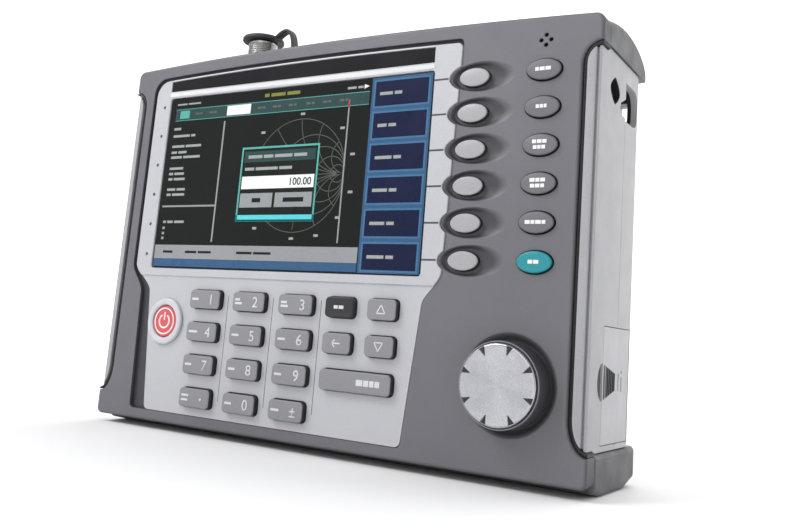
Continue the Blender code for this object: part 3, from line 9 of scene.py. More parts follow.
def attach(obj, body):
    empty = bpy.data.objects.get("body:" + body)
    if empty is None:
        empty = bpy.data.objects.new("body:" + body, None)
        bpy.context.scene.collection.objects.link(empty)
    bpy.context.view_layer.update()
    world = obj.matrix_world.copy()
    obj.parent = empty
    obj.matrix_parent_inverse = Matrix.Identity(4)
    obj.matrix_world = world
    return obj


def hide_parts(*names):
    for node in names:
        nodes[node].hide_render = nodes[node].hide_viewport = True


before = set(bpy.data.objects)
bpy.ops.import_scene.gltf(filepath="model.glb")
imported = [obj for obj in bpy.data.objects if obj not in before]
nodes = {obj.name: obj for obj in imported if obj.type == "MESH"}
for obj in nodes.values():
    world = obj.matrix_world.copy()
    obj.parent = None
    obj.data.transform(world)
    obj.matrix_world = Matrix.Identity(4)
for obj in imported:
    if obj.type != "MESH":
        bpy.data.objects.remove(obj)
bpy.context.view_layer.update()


# The camera: low on the right of the case, looking a little upwards across the front,
# with the view slid down to frame the case.
lens = bpy.data.cameras.new("camera")
lens.lens = 38.6197
lens.sensor_width = 36
lens.shift_y = -0.07625
lens.clip_start = 0.01
camera = bpy.data.objects.new("camera", lens)
bpy.context.collection.objects.link(camera)
camera_across = (0.8556184, 0.5118496, 0.0769876)
camera_up = (0.0168388, -0.1761842, 0.9842132)
camera_behind = (0.5173332, -0.8408145, -0.1593654)
camera.matrix_world = Matrix.Translation((0.242686, -0.348185, 0.054775)) @ Matrix(
    (camera_across, camera_up, camera_behind)
).transposed().to_4x4()
bpy.context.scene.camera = camera
bpy.context.scene.view_settings.view_transform = "Standard"


# The floor: a white studio sweep that runs back from the camera and up behind the case, of paper with a painted glow:
# it emits light that rises with the distance from the case and is nil round it.
# One profile in the side view, carried across the whole width.
sweep_half_width, sweep_front, sweep_back, sweep_radius, sweep_top = 3.0, -1.8, 1.3, 0.7, 3.0


def floor_sweep():
    """A grid of points: along the profile (flat, quarter circle, upright) times across the width."""
    turn = np.linspace(0, np.pi / 2, 25)
    curve_y = sweep_back - sweep_radius + sweep_radius * np.sin(turn)
    curve_z = sweep_radius - sweep_radius * np.cos(turn)
    along = np.concatenate([[sweep_front], curve_y, [sweep_back]])
    height = np.concatenate([[0], curve_z, [sweep_top]])
    across = np.linspace(sweep_half_width, -sweep_half_width, 5)
    grid = np.stack([across[None] + 0 * along[:, None], along[:, None] + 0 * across, height[:, None] + 0 * across], -1)
    rows, columns = grid.shape[:2]
    index = np.arange(rows * columns).reshape(rows, columns)
    quads = np.stack([index[:-1, :-1], index[1:, :-1], index[1:, 1:], index[:-1, 1:]], -1).reshape(-1, 4)
    mesh = bpy.data.meshes.new("floor")
    mesh.from_pydata(grid.reshape(-1, 3).tolist(), [], quads.tolist())
    mesh.shade_smooth()
    made = bpy.data.objects.new("floor", mesh)
    bpy.context.collection.objects.link(made)
    return made


floor = floor_sweep()
paper = bpy.data.materials.new("studio_paper")
paper.use_nodes = True
paper.node_tree.nodes["Principled BSDF"].inputs["Base Color"].default_value = (0.94, 0.94, 0.94, 1)
paper.node_tree.nodes["Principled BSDF"].inputs["Roughness"].default_value = 0.9
paper.node_tree.nodes["Principled BSDF"].inputs["Specular IOR Level"].default_value = 0.0
paper_tree = paper.node_tree
flat_way = paper_tree.nodes.new("ShaderNodeVectorMath")
flat_way.operation = "MULTIPLY"
flat_way.inputs[1].default_value = (1, 1, 0)
paper_tree.links.new(paper_tree.nodes.new("ShaderNodeTexCoord").outputs["Object"], flat_way.inputs[0])
away = paper_tree.nodes.new("ShaderNodeVectorMath")
away.operation = "LENGTH"
paper_tree.links.new(flat_way.outputs["Vector"], away.inputs[0])
# Painted glow: the paper's emission rises from nil within 0.22 m of the middle to 0.42 beyond 0.75 m.
far = paper_tree.nodes.new("ShaderNodeMapRange")
far.inputs["From Min"].default_value = 0.22
far.inputs["From Max"].default_value = 0.75
far.inputs["To Max"].default_value = 0.42
paper_tree.links.new(away.outputs["Value"], far.inputs["Value"])
paper_tree.nodes["Principled BSDF"].inputs["Emission Color"].default_value = (1, 1, 1, 1)
paper_tree.links.new(far.outputs["Result"], paper_tree.nodes["Principled BSDF"].inputs["Emission Strength"])
floor.data.materials.append(paper)


# The lights: a white room, a wide softbox high on the left, a weaker one from the front, one from
# behind on the right that brightens the side cover, and one above that throws the soft shadow.
room = bpy.data.worlds.new("room")
room.use_nodes = True
room.node_tree.nodes["Background"].inputs["Color"].default_value = (0.985, 0.985, 1.0, 1)
room.node_tree.nodes["Background"].inputs["Strength"].default_value = 0.60
bpy.context.scene.world = room


def softbox(name, place, target, size, power):
    """A square area light at one place that faces another."""
    lamp = bpy.data.lights.new(name, "AREA")
    lamp.size = size
    lamp.energy = power
    holder = bpy.data.objects.new(name, lamp)
    bpy.context.collection.objects.link(holder)
    away = np.array(place, float) - np.array(target, float)
    away /= np.linalg.norm(away)
    across = np.cross((0, 0, 1), away)
    across /= np.linalg.norm(across)
    facing = Matrix((across, np.cross(away, across), away)).transposed().to_4x4()
    holder.matrix_world = Matrix.Translation(place) @ facing
    return holder


softbox("softbox_left", (-0.75, -0.85, 1.15), (0, 0, 0.09), 0.7, 12)
softbox("softbox_front", (0.35, -1.5, 0.55), (0, 0, 0.1), 1.0, 3.5)
softbox("softbox_right", (0.85, 0.62, 0.42), (0.13, 0, 0.1), 0.45, 0.9)
softbox("softbox_above", (0.1, 0.5, 1.25), (0, 0, 0.05), 0.7, 5)


# The front case: one dark grey moulding, waisted on both sides, with a rounded rim. It holds the
# recess of the control plate, six scooped finger ramps, the key holes, the knob dish and the
# sound holes. The caps close over its ends and screws from the back hold it.
half_width, case_top, crown_radius, foot = 135.0, 196.0, 2600.0, 4.0
top_corner, foot_corner, edge_round = 4.0, 3.0, 1.8
waist, waist_low, waist_high, shoulder_low, shoulder_high = 126.8, 30.0, 171.0, 16.0, 180.5
front_depth, face_wall, side_wall, clearance, overrun = 9.3, 4.0, 2.2, 0.3, 3.0
channel_left, channel_depth, channel_above = -120.4, 2.2, 2.2
plate_right_high, plate_right_low, plate_top = 71.5, 68.3, 187.0
soft_x, soft_top, row_pitch, soft_size = 77.7, 169.7, 16.1, (14.2, 8.2)
scoop_x, scoop_size, scoop_floor, scoop_depth, scoop_rim = 82.0, (31.6, 13.8), (18.4, 11.0), 2.2, 0.25
function_x, function_size = 110.4, (15.2, 9.0)
knob_x, knob_z, dish_radius, dish_floor, dish_depth = 101.5, 40.0, 20.8, 18.2, 2.4
power_x, power_z = -90.8, 54.6
beeper_x, beeper_z, beeper_spread, beeper_hole = 110.3, 182.9, 2.2, 0.9
row_heights = soft_top - row_pitch * np.arange(6)


def at(x, depth, z):
    """Millimetres of the case, with depth counted back from the front face, as metres of the frame."""
    x, depth, z = np.broadcast_arrays(np.asarray(x, float), np.asarray(depth, float), np.asarray(z, float))
    return np.stack([x, depth - 26.5, z], axis=-1) / 1000


def mesh_piece(name, points, faces):
    """An object of these points and faces, with doubles merged and every closed skin facing outwards."""
    mesh = bpy.data.meshes.new(name)
    mesh.from_pydata(points.reshape(-1, 3).tolist(), [], faces)
    work = bmesh.new()
    work.from_mesh(mesh)
    bmesh.ops.remove_doubles(work, verts=work.verts, dist=1e-6)
    bmesh.ops.recalc_face_normals(work, faces=work.faces)
    work.to_mesh(mesh)
    work.free()
    made = bpy.data.objects.new(name, mesh)
    bpy.context.collection.objects.link(made)
    return made


def skin(name, grid, ends=True):
    """Quads between the rows of a (rows, columns, 3) grid, each row closing on itself,
    with a face over the first row and the last."""
    rows, columns = grid.shape[:2]
    index = np.arange(rows * columns).reshape(rows, columns)
    beside = np.roll(index, -1, axis=1)
    faces = np.stack([index[:-1], beside[:-1], beside[1:], index[1:]], -1).reshape(-1, 4).tolist()
    if ends:
        faces += [index[0].tolist(), index[-1].tolist()]
    return mesh_piece(name, grid, faces)


def grow(outline, distance):
    """Each point of an anticlockwise outline moved out along the mitre of its two edges' normals."""
    way = np.roll(outline, -1, axis=0) - outline
    normal = np.stack([way[:, 1], -way[:, 0]], axis=1) / np.linalg.norm(way, axis=1, keepdims=True)
    both = normal + np.roll(normal, 1, axis=0)
    return outline + both * (2 * distance / (both ** 2).sum(axis=1, keepdims=True))


def moulded(name, outline, steps):
    """A moulding with its outline in the front view: every step is the outline grown by its
    first number, at the depth of its second."""
    rings = [(grow(outline, out), depth) for out, depth in steps]
    return skin(name, np.stack([at(ring[:, 0], depth, ring[:, 1]) for ring, depth in rings]))


def rounded_edge(radius, face, count=6):
    """Steps of a quarter circle from a face to its side: at angle a the outline is drawn in by
    radius (1 - sin a) and lies radius (1 - cos a) behind the face."""
    a = np.linspace(0, np.pi / 2, count)
    return list(zip(-radius * (1 - np.sin(a)), face + radius * (1 - np.cos(a))))


def turned(name, centre, profile, count=64, axis="front", ends=True):
    """A turned piece: the (radius, height) profile swept round an axis that points out of the
    front face, or upwards."""
    steps = np.asarray(profile, float)
    angle = np.linspace(0, 2 * np.pi, count, endpoint=False)
    across, along = steps[:, :1] * np.cos(angle), steps[:, :1] * np.sin(angle)
    height = steps[:, 1:] + 0 * angle
    x, depth, z = centre
    if axis == "front":
        return skin(name, at(x + across, depth - height, z + along), ends)
    return skin(name, at(x + across, depth + along, z + height), ends)


def crown(x, top):
    """Height of an edge that follows a circle of the crown radius, from its height in the middle."""
    return top - np.asarray(x) ** 2 / (2 * crown_radius)


def ring_arc(centre, radii, start, end, count):
    """Points of an elliptical arc between two angles in degrees from +X."""
    a = np.radians(np.linspace(start, end, count))
    return np.stack([centre[0] + radii[0] * np.cos(a), centre[1] + radii[1] * np.sin(a)], axis=1)


def oval(x, z, width, height, count=48):
    """A closed oval."""
    return ring_arc((x, z), (width / 2, height / 2), 0, 360 * (count - 1) / count, count)


def rounded(corners, steps=7):
    """An outline from (x, z, radius) corners: each corner is the conic between its two tangent
    points with weight 0.707 on the corner, which is a quarter circle at a right angle."""
    corners = np.asarray(corners, float)
    spot, radius = corners[:, :2], corners[:, 2:]
    ends = []
    for other in (np.roll(spot, 1, axis=0), np.roll(spot, -1, axis=0)):
        way = other - spot
        ends.append(spot + way / np.linalg.norm(way, axis=1, keepdims=True) * radius)
    t = np.linspace(0, 1, steps)[None, :, None]
    first, middle, last = (1 - t) ** 2, 2 * t * (1 - t) * 0.707, t ** 2
    curve = first * ends[0][:, None] + middle * spot[:, None] + last * ends[1][:, None]
    points = (curve / (first + middle + last)).reshape(-1, 2)
    return points[np.linalg.norm(points - np.roll(points, 1, axis=0), axis=1) > 0.001]


def rectangle(left, right, bottom, top, radius=0.0, steps=7):
    """A rounded rectangle, anticlockwise from its lower left corner."""
    corners = [(left, bottom, radius), (right, bottom, radius), (right, top, radius), (left, top, radius)]
    return rounded(corners, steps)


def ease(start, end, count=14):
    """Points from start to end that leave and arrive upright: x follows half a cosine wave."""
    t = np.linspace(0, 1, count)
    swing = (1 - np.cos(np.pi * t)) / 2
    return np.stack([start[0] + (end[0] - start[0]) * swing, start[1] + (end[1] - start[1]) * t], axis=1)


def sharp(points):
    """Points as corners without a radius."""
    return [(x, z, 0.0) for x, z in points]


def settle(piece):
    """The piece's modifiers turned into plain mesh."""
    shape = bpy.context.evaluated_depsgraph_get()
    made = bpy.data.meshes.new_from_object(piece.evaluated_get(shape))
    piece.modifiers.clear()
    piece.data = made
    return piece


def carve(piece, cutters, operation="DIFFERENCE"):
    """Take the cutters out of the piece, or fuse them with it, by exact Booleans."""
    for cutter in cutters:
        change = piece.modifiers.new("carve", "BOOLEAN")
        change.solver = "EXACT"
        change.operation = operation
        change.object = cutter
    settle(piece)
    for cutter in cutters:
        bpy.data.objects.remove(cutter)
    return piece


def smooth(piece, degrees=32):
    """Smooth shading with sharp edges past an angle, and normals that favour the large faces."""
    piece.data.shade_smooth()
    piece.data.set_sharp_from_angle(angle=math.radians(degrees))
    even = piece.modifiers.new("even_normals", "WEIGHTED_NORMAL")
    even.keep_sharp = True
    return piece


def new_group(name, inputs, outputs):
    """A shader node group with its named sockets, and its two end nodes."""
    group = bpy.data.node_groups.new(name, "ShaderNodeTree")
    for label, kind, value in inputs:
        socket = group.interface.new_socket(label, in_out="INPUT", socket_type=kind)
        socket.default_value = value
    for label, kind in outputs:
        group.interface.new_socket(label, in_out="OUTPUT", socket_type=kind)
    return group, group.nodes.new("NodeGroupInput"), group.nodes.new("NodeGroupOutput")


def noise_node(tree, scale, detail, vector):
    """A noise texture of one scale per metre."""
    made = tree.nodes.new("ShaderNodeTexNoise")
    made.inputs["Scale"].default_value = scale
    made.inputs["Detail"].default_value = detail
    tree.links.new(vector, made.inputs["Vector"])
    return made.outputs["Fac"]


def range_node(tree, value, low, high, to_low, to_high):
    """A value moved from one range to another; the new ends may be numbers or sockets."""
    made = tree.nodes.new("ShaderNodeMapRange")
    made.inputs["From Min"].default_value = low
    made.inputs["From Max"].default_value = high
    tree.links.new(value, made.inputs["Value"])
    for label, end in (("To Min", to_low), ("To Max", to_high)):
        if isinstance(end, (int, float)):
            made.inputs[label].default_value = end
        else:
            tree.links.new(end, made.inputs[label])
    return made.outputs["Result"]


def mix_node(tree, factor, first, second, blend="MIX"):
    """Two colours mixed by a factor."""
    made = tree.nodes.new("ShaderNodeMix")
    made.data_type = "RGBA"
    made.blend_type = blend
    for label, value in (("Factor", factor), ("A", first), ("B", second)):
        socket = [s for s in made.inputs if s.name == label and s.enabled][0]
        if isinstance(value, (int, float, tuple)):
            socket.default_value = value
        else:
            tree.links.new(value, socket)
    return [s for s in made.outputs if s.enabled][0]


def moulded_skin_group():
    """Moulded plastic: slow blotches in the colour, roughness that drifts with handling, and the
    fine spark-eroded grain of the tool as a height."""
    group, start, end = new_group(
        "moulded_skin",
        [
            ("Colour", "NodeSocketColor", (0.5, 0.5, 0.5, 1)),
            ("Shade", "NodeSocketColor", (0.4, 0.4, 0.4, 1)),
            ("Grain", "NodeSocketFloat", 2200.0),
            ("Smoothest", "NodeSocketFloat", 0.4),
            ("Roughest", "NodeSocketFloat", 0.6),
        ],
        [("Colour", "NodeSocketColor"), ("Roughness", "NodeSocketFloat"), ("Height", "NodeSocketFloat")],
    )
    place = group.nodes.new("ShaderNodeTexCoord").outputs["Object"]
    blotch = range_node(group, noise_node(group, 26, 3, place), 0.32, 0.68, 0.0, 1.0)
    colour = mix_node(group, blotch, start.outputs["Shade"], start.outputs["Colour"])
    speck = range_node(group, noise_node(group, 1400, 1, place), 0.3, 0.7, 0.965, 1.035)
    group.links.new(mix_node(group, 1.0, colour, speck, "MULTIPLY"), end.inputs["Colour"])
    drift = noise_node(group, 90, 4, place)
    rough = range_node(group, drift, 0.35, 0.65, start.outputs["Smoothest"], start.outputs["Roughest"])
    group.links.new(rough, end.inputs["Roughness"])
    pits = group.nodes.new("ShaderNodeTexVoronoi")
    group.links.new(place, pits.inputs["Vector"])
    group.links.new(start.outputs["Grain"], pits.inputs["Scale"])
    group.links.new(pits.outputs["Distance"], end.inputs["Height"])
    return group


moulded_skin = moulded_skin_group()


def plastic(name, colour, shade, roughness, grain=2200.0, relief=0.16, gloss=0.5, coat=0.0):
    """A Principled plastic whose colour, roughness and relief come from the moulded skin."""
    made = bpy.data.materials.new(name)
    made.use_nodes = True
    tree = made.node_tree
    shader = tree.nodes["Principled BSDF"]
    shader.inputs["Specular IOR Level"].default_value = gloss
    shader.inputs["Coat Weight"].default_value = coat
    shader.inputs["Coat Roughness"].default_value = 0.12
    look = tree.nodes.new("ShaderNodeGroup")
    look.node_tree = moulded_skin
    look.inputs["Colour"].default_value = (*colour, 1)
    look.inputs["Shade"].default_value = (*shade, 1)
    look.inputs["Grain"].default_value = grain
    look.inputs["Smoothest"].default_value = roughness[0]
    look.inputs["Roughest"].default_value = roughness[1]
    bump = tree.nodes.new("ShaderNodeBump")
    bump.inputs["Strength"].default_value = relief
    bump.inputs["Distance"].default_value = 0.0002
    tree.links.new(look.outputs["Colour"], shader.inputs["Base Color"])
    tree.links.new(look.outputs["Roughness"], shader.inputs["Roughness"])
    tree.links.new(look.outputs["Height"], bump.inputs["Height"])
    tree.links.new(bump.outputs["Normal"], shader.inputs["Normal"])
    return made


def graded(made, colour, start, end, axis="Y", middle=-26.5):
    """The same material with its colour mixed towards another one between two places along an axis,
    in millimetres from the middle: behind the front face unless told otherwise."""
    tree = made.node_tree
    parts = tree.nodes.new("ShaderNodeSeparateXYZ")
    tree.links.new(tree.nodes.new("ShaderNodeTexCoord").outputs["Object"], parts.inputs["Vector"])
    low, high = (start + middle) / 1000, (end + middle) / 1000
    share = range_node(tree, parts.outputs[axis], low, high, 0.0, 1.0)
    into = tree.nodes["Principled BSDF"].inputs["Base Color"]
    tree.links.new(mix_node(tree, share, into.links[0].from_socket, (*colour, 1)), into)
    return made


def wear(piece, material, body, slot, *stands_for):
    """Give a piece its material and its body, and hide the nodes that it stands for. The slot is not used."""
    piece.data.materials.clear()
    piece.data.materials.append(material)
    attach(piece, body)
    if stands_for:
        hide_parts(*stands_for)
    return piece


def front_outline():
    """The right half from the foot up to the middle of the crown, then its mirror image down."""
    reach = half_width - top_corner
    spread = half_width - waist
    half = np.concatenate(
        [
            ring_arc((half_width - foot_corner, foot + foot_corner), (foot_corner, foot_corner), 270, 360, 7),
            ring_arc((half_width, waist_low), (spread, waist_low - shoulder_low), 270, 180, 15),
            ring_arc((half_width, waist_high), (spread, shoulder_high - waist_high), 180, 90, 15),
            ring_arc((reach, crown(reach, case_top) - top_corner), (top_corner, top_corner), 0, 90, 9),
        ]
    )
    top_x = np.linspace(reach, 0, 14)[1:]
    half = np.concatenate([half, np.stack([top_x, crown(top_x, case_top)], axis=1)])
    return np.concatenate([half, half[-2::-1] * (-1, 1)])


def channel_outline():
    """The recess of the control plate: its own outline, wider on the left and above."""
    left_bend = ease((channel_left, 84.5), (-112.2, 69.0))
    right_bend = ease((59.7, 69.0), (plate_right_low + clearance, 84.5))
    top = plate_top + channel_above
    edge = np.linspace(plate_right_high - 8, channel_left + 16, 12)
    corners = [(-110.2, 9.3, 2.5), (53.9, 9.3, 2.5)] + sharp(right_bend)
    corners += [(plate_right_high + clearance, crown(plate_right_high, top), 2.5)]
    corners += sharp(np.stack([edge, crown(edge, top)], axis=1))
    corners += [(channel_left, crown(channel_left, top), 8.0)] + sharp(left_bend)
    return rounded(corners)


def scoop_cutter(z):
    """A finger ramp: from the rim at the face to the floor round the key, both ovals, mixed evenly
    in the outline and along an S-curve in depth, so that the left wall is steep and the right fades."""
    t = np.concatenate([[0.0], np.linspace(0, 1, 11)])[:, None]
    rim, floor_ring = oval(scoop_x, z, *scoop_size, 64), oval(soft_x, z, *scoop_floor, 64)
    depth = scoop_depth * (0.45 * t + 0.55 * t ** 2 * (3 - 2 * t))
    depth[0] = -overrun
    x = rim[:, 0] + (floor_ring[:, 0] - rim[:, 0]) * t
    height = rim[:, 1] + (floor_ring[:, 1] - rim[:, 1]) * t
    return skin("scoop", at(x, depth + 0 * x, height))


def front_case():
    """The whole moulding: a rounded shell, hollow behind, with everything cut into its face."""
    shell = front_outline()
    steps = rounded_edge(edge_round, 0, 8) + [(0, front_depth)]
    case = moulded("front_case_moulding", shell, steps)
    hollow = moulded("hollow", grow(shell, -side_wall), [(0, face_wall), (0, front_depth + overrun)])
    recess = moulded("recess", channel_outline(), [(0, -overrun), (0, channel_depth)])
    carve(case, [hollow, recess])
    rims = [oval(scoop_x, z, scoop_size[0] + 2 * scoop_rim, scoop_size[1] + 2 * scoop_rim, 64) for z in row_heights]
    carve(case, [moulded("boss", rim, [(-0.35, 0.0), (0, 0.35), (0, 3.4)]) for rim in rims], "UNION")
    window = moulded("window", rectangle(-103.3, 55.4, 84.7, 171.7, 1.5), [(0, 0), (0, 7)])
    keypad = moulded("keypad", rectangle(-75.85, 49.8, 12.5, 73.4, 2.0), [(0, 0), (0, 7)])
    power = moulded("power", oval(power_x, power_z, 18.8, 18.8), [(0, 0), (0, 7)])
    carve(case, [window, keypad, power] + [scoop_cutter(z) for z in row_heights])
    holes = [oval(soft_x, z, soft_size[0] + 0.6, soft_size[1] + 0.6) for z in row_heights]
    holes += [oval(function_x, z, function_size[0] + 0.8, function_size[1] + 0.8) for z in row_heights]
    spots = [(beeper_spread, 0), (0, beeper_spread), (-beeper_spread, 0), (0, -beeper_spread)]
    holes += [oval(beeper_x + x, beeper_z + z, 2 * beeper_hole, 2 * beeper_hole, 20) for x, z in spots]
    cutters = [moulded("hole", hole, [(0.25, -overrun), (0.25, 0), (0, 0.25), (0, 7)]) for hole in holes]
    dish = [(3.3, -7), (3.3, -dish_depth), (dish_floor - 0.8, -dish_depth), (dish_floor, -dish_depth + 0.25)]
    dish += [(dish_radius - 0.4, -0.3), (dish_radius + 0.3, 0), (dish_radius + 0.3, overrun)]
    cutters.append(turned("dish", (knob_x, 0, knob_z), dish, 96))
    return smooth(carve(case, cutters))


dark_plastic = plastic("dark_case_plastic", (0.144, 0.142, 0.158), (0.132, 0.130, 0.145), (0.42, 0.56))
# Painted shade: from 0.06 mm to 1.3 mm behind the front face the colour darkens to near black. This darkens every
# recess, hole and the dish, and also the rounded rim and the sides.
graded(dark_plastic, (0.046, 0.046, 0.053), 0.06, 1.3)
wear(front_case(), dark_plastic, "case", "dark_case", "front_case")


# The control plate: a light, satin painted panel glued into the recess. The screen part stands
# 0.8 mm proud and steps down to the tapered keypad part. It is punched for the keys, the scoops,
# the glass and the strip, and has six blind dots down its left edge.
plate_left, plate_bottom, plate_back, plate_proud, plate_step = -117.2, 9.6, 1.9, 0.8, 78.2
glass_box = (-105.8, 57.9, 82.2, 174.2)
strip_left, strip_right, strip_bottom, strip_top, strip_recess = -106.4, 57.6, 178.4, 185.8, 0.9
key_top, key_size, key_corner = 66.75, (19.6, 9.2), 2.0
column_x = np.array([-63.1, -34.7, -6.3])
key_rows = key_top - row_pitch * np.arange(4)
keypad_keys = [
    (name, column_x[i % 3], key_rows[i // 3], key_size[0])
    for i, name in enumerate(("1", "2", "3", "4", "5", "6", "7", "8", "9", "point", "0", "sign"))
]
keypad_keys += [("escape", 18.7, key_rows[0], 15.2), ("up", 41.3, key_rows[0], 14.8)]
keypad_keys += [("back", 18.7, key_rows[1], 15.2), ("down", 41.3, key_rows[1], 14.8)]
keypad_keys += [("enter", 29.9, key_rows[2], 37.6)]


def plate_outline():
    """The screen part under its crowned top edge and the narrower keypad part, joined by two bends."""
    left_bend = ease((plate_left, 84.5), (-105.3, 69.0))
    right_bend = ease((59.4, 69.0), (plate_right_low, 84.5))
    edge = np.linspace(plate_right_high - 8, plate_left + 16, 12)
    corners = [(-99.5, plate_bottom, 2.5), (53.6, plate_bottom, 2.5)] + sharp(right_bend)
    corners += [(plate_right_high, crown(plate_right_high, plate_top), 2.5)]
    corners += sharp(np.stack([edge, crown(edge, plate_top)], axis=1))
    corners += [(plate_left, crown(plate_left, plate_top), 8.0)] + sharp(left_bend)
    return rounded(corners)


def strip_outline(margin=0.0):
    """Straight below, crowned above."""
    x = np.linspace(strip_right + margin, strip_left - margin, 12)
    top = np.stack([x, crown(x, strip_top + margin)], axis=1)
    low = strip_bottom - margin
    return np.concatenate([[(strip_left - margin, low), (strip_right + margin, low)], top])


def key_outline(x, z, width, margin=0.0):
    """Outline of a keypad key."""
    w, h = width / 2 + margin, key_size[1] / 2 + margin
    return rectangle(x - w, x + w, z - h, z + h, key_corner + margin)


def control_plate():
    """The panel with its rounded rim, the step across it and all that is cut through."""
    steps = rounded_edge(0.45, -plate_proud, 5) + [(0, plate_back)]
    plate = moulded("control_plate_panel", plate_outline(), steps)
    step = np.array([(-9, -9), (0, -9), (0, plate_step - 0.5), (-0.5, plate_step), (-9, plate_step)], float)
    sides = np.array([-140.0, 140.0])[:, None]
    cutters = [skin("step", at(sides, step[:, 0], step[:, 1]))]
    left, right, low, high = glass_box
    seat = rectangle(left - clearance, right + clearance, low - clearance, high + clearance, 1.5)
    cutters.append(moulded("seat", seat, [(0.3, -9), (0.3, -plate_proud), (0, 0.3 - plate_proud), (0, 9)]))
    cutters.append(moulded("strip_seat", strip_outline(clearance), [(0, -9), (0, strip_recess + 0.3 - plate_proud)]))
    carve(plate, cutters)
    bite = scoop_rim + 0.12
    rims = [oval(scoop_x, z, scoop_size[0] + 2 * bite, scoop_size[1] + 2 * bite, 64) for z in row_heights]
    cutters = [moulded("bite", rim, [(0.2, -9), (0.2, -plate_proud), (0, 0.2 - plate_proud), (0, 9)]) for rim in rims]
    holes = [key_outline(x, z, width, clearance) for name, x, z, width in keypad_keys]
    holes.append(oval(power_x, power_z, 16.6, 16.6, 64))
    cutters += [moulded("hole", hole, [(0.2, -9), (0.2, 0), (0, 0.2), (0, 9)]) for hole in holes]
    dots = [oval(-110.3, z, 1.8, 1.8, 20) for z in row_heights]
    cutters += [moulded("dot", dot, [(0, -9), (0, 0.6 - plate_proud)]) for dot in dots]
    return smooth(carve(plate, cutters))


plate_paint = plastic("plate_paint", (0.485, 0.487, 0.512), (0.46, 0.462, 0.487), (0.36, 0.46), 3200.0, 0.06)
wear(control_plate(), plate_paint, "case", "silver_plate", "control_plate")


# The dots, the leader lines from the glass to the soft keys and the dividers of the keypad: dark
# ink, a few hundredths of a millimetre thick, printed on the plate after it is painted.


def printed(name, shapes, depth, thickness=0.04):
    """Flat shapes of the front view as closed plates as thin as ink: two rings and two faces each."""
    points, faces = [], []
    for shape in shapes:
        count = len(shape)
        base = sum(len(block) for block in points)
        ring = np.arange(count)
        sides = np.stack([ring, (ring + 1) % count, (ring + 1) % count + count, ring + count], axis=1) + base
        faces += [(ring + base).tolist(), (ring + base + count).tolist()] + sides.tolist()
        rings = [at(shape[:, 0], level, shape[:, 1]) for level in (depth, depth + thickness)]
        points.append(np.concatenate(rings))
    return mesh_piece(name, np.concatenate(points), faces)


def bar(left, right, bottom, top):
    """A plain rectangle."""
    return np.array([(left, bottom), (right, bottom), (right, top), (left, top)], float)


def stroke(path, width):
    """A ribbon along a path: the path moved to both sides along its normals."""
    path = np.asarray(path, float)
    way = np.gradient(path, axis=0)
    normal = np.stack([-way[:, 1], way[:, 0]], axis=1) / np.linalg.norm(way, axis=1, keepdims=True)
    return np.concatenate([path - normal * width / 2, (path + normal * width / 2)[::-1]])


def ink(name, colour, roughness=0.45, glow=0.0):
    """Ink, paint or a lit patch of the display: an even colour that is a little blotchy close up."""
    made = plastic(name, colour, tuple(0.93 * c for c in colour), (roughness - 0.05, roughness + 0.05), 3000.0, 0.03, 0.15)
    shader = made.node_tree.nodes["Principled BSDF"]
    shader.inputs["Emission Color"].default_value = (*colour, 1)
    shader.inputs["Emission Strength"].default_value = glow
    return made


line_ink = ink("line_ink", (0.085, 0.088, 0.096))
leaders = [bar(58.4, scoop_x - scoop_size[0] / 2 - 0.7, z - 0.42, z + 0.42) for z in row_heights]
wear(printed("leader_lines", leaders, -plate_proud - 0.03), line_ink, "case", "key_black")
wear(printed("dot_fills", [oval(-110.3, z, 1.7, 1.7, 20) for z in row_heights], -0.26), line_ink, "case", "key_black")
dividers = [bar(x - 0.14, x + 0.14, 18.0, 69.5) for x in (-49.9, -21.5, 6.8)]
wear(printed("keypad_dividers", dividers, -0.03), line_ink, "case", "key_black")


# The name strip, left bare: a thin black gloss film in its own shallow seat above the screen, with
# a polished bar under it and a hairline over it.
strip_film = plastic("strip_film", (0.014, 0.014, 0.015), (0.012, 0.012, 0.013), (0.16, 0.24), 4000.0, 0.02, 0.2)
strip_steps = [(-0.1, 0.3 - plate_proud), (0, 0.4 - plate_proud), (0, strip_recess - plate_proud)]
wear(smooth(moulded("name_strip_film", strip_outline(), strip_steps)), strip_film, "case", "key_black", "name_strip")
bar_metal = ink("bar_metal", (0.70, 0.71, 0.73), 0.25)
polished = moulded("polished_bar", rectangle(-107.0, 58.2, 175.2, 177.5, 0.5), rounded_edge(0.3, -1.1, 4) + [(0, -0.7)])
wear(smooth(polished), bar_metal, "case", "silver_plate")
hair_x = np.linspace(strip_right, strip_left, 24)
hairline = stroke(np.stack([hair_x, crown(hair_x, strip_top + 0.75)], axis=1), 0.3)
wear(printed("strip_hairline", [hairline], -plate_proud - 0.03), bar_metal, "case", "silver_plate")


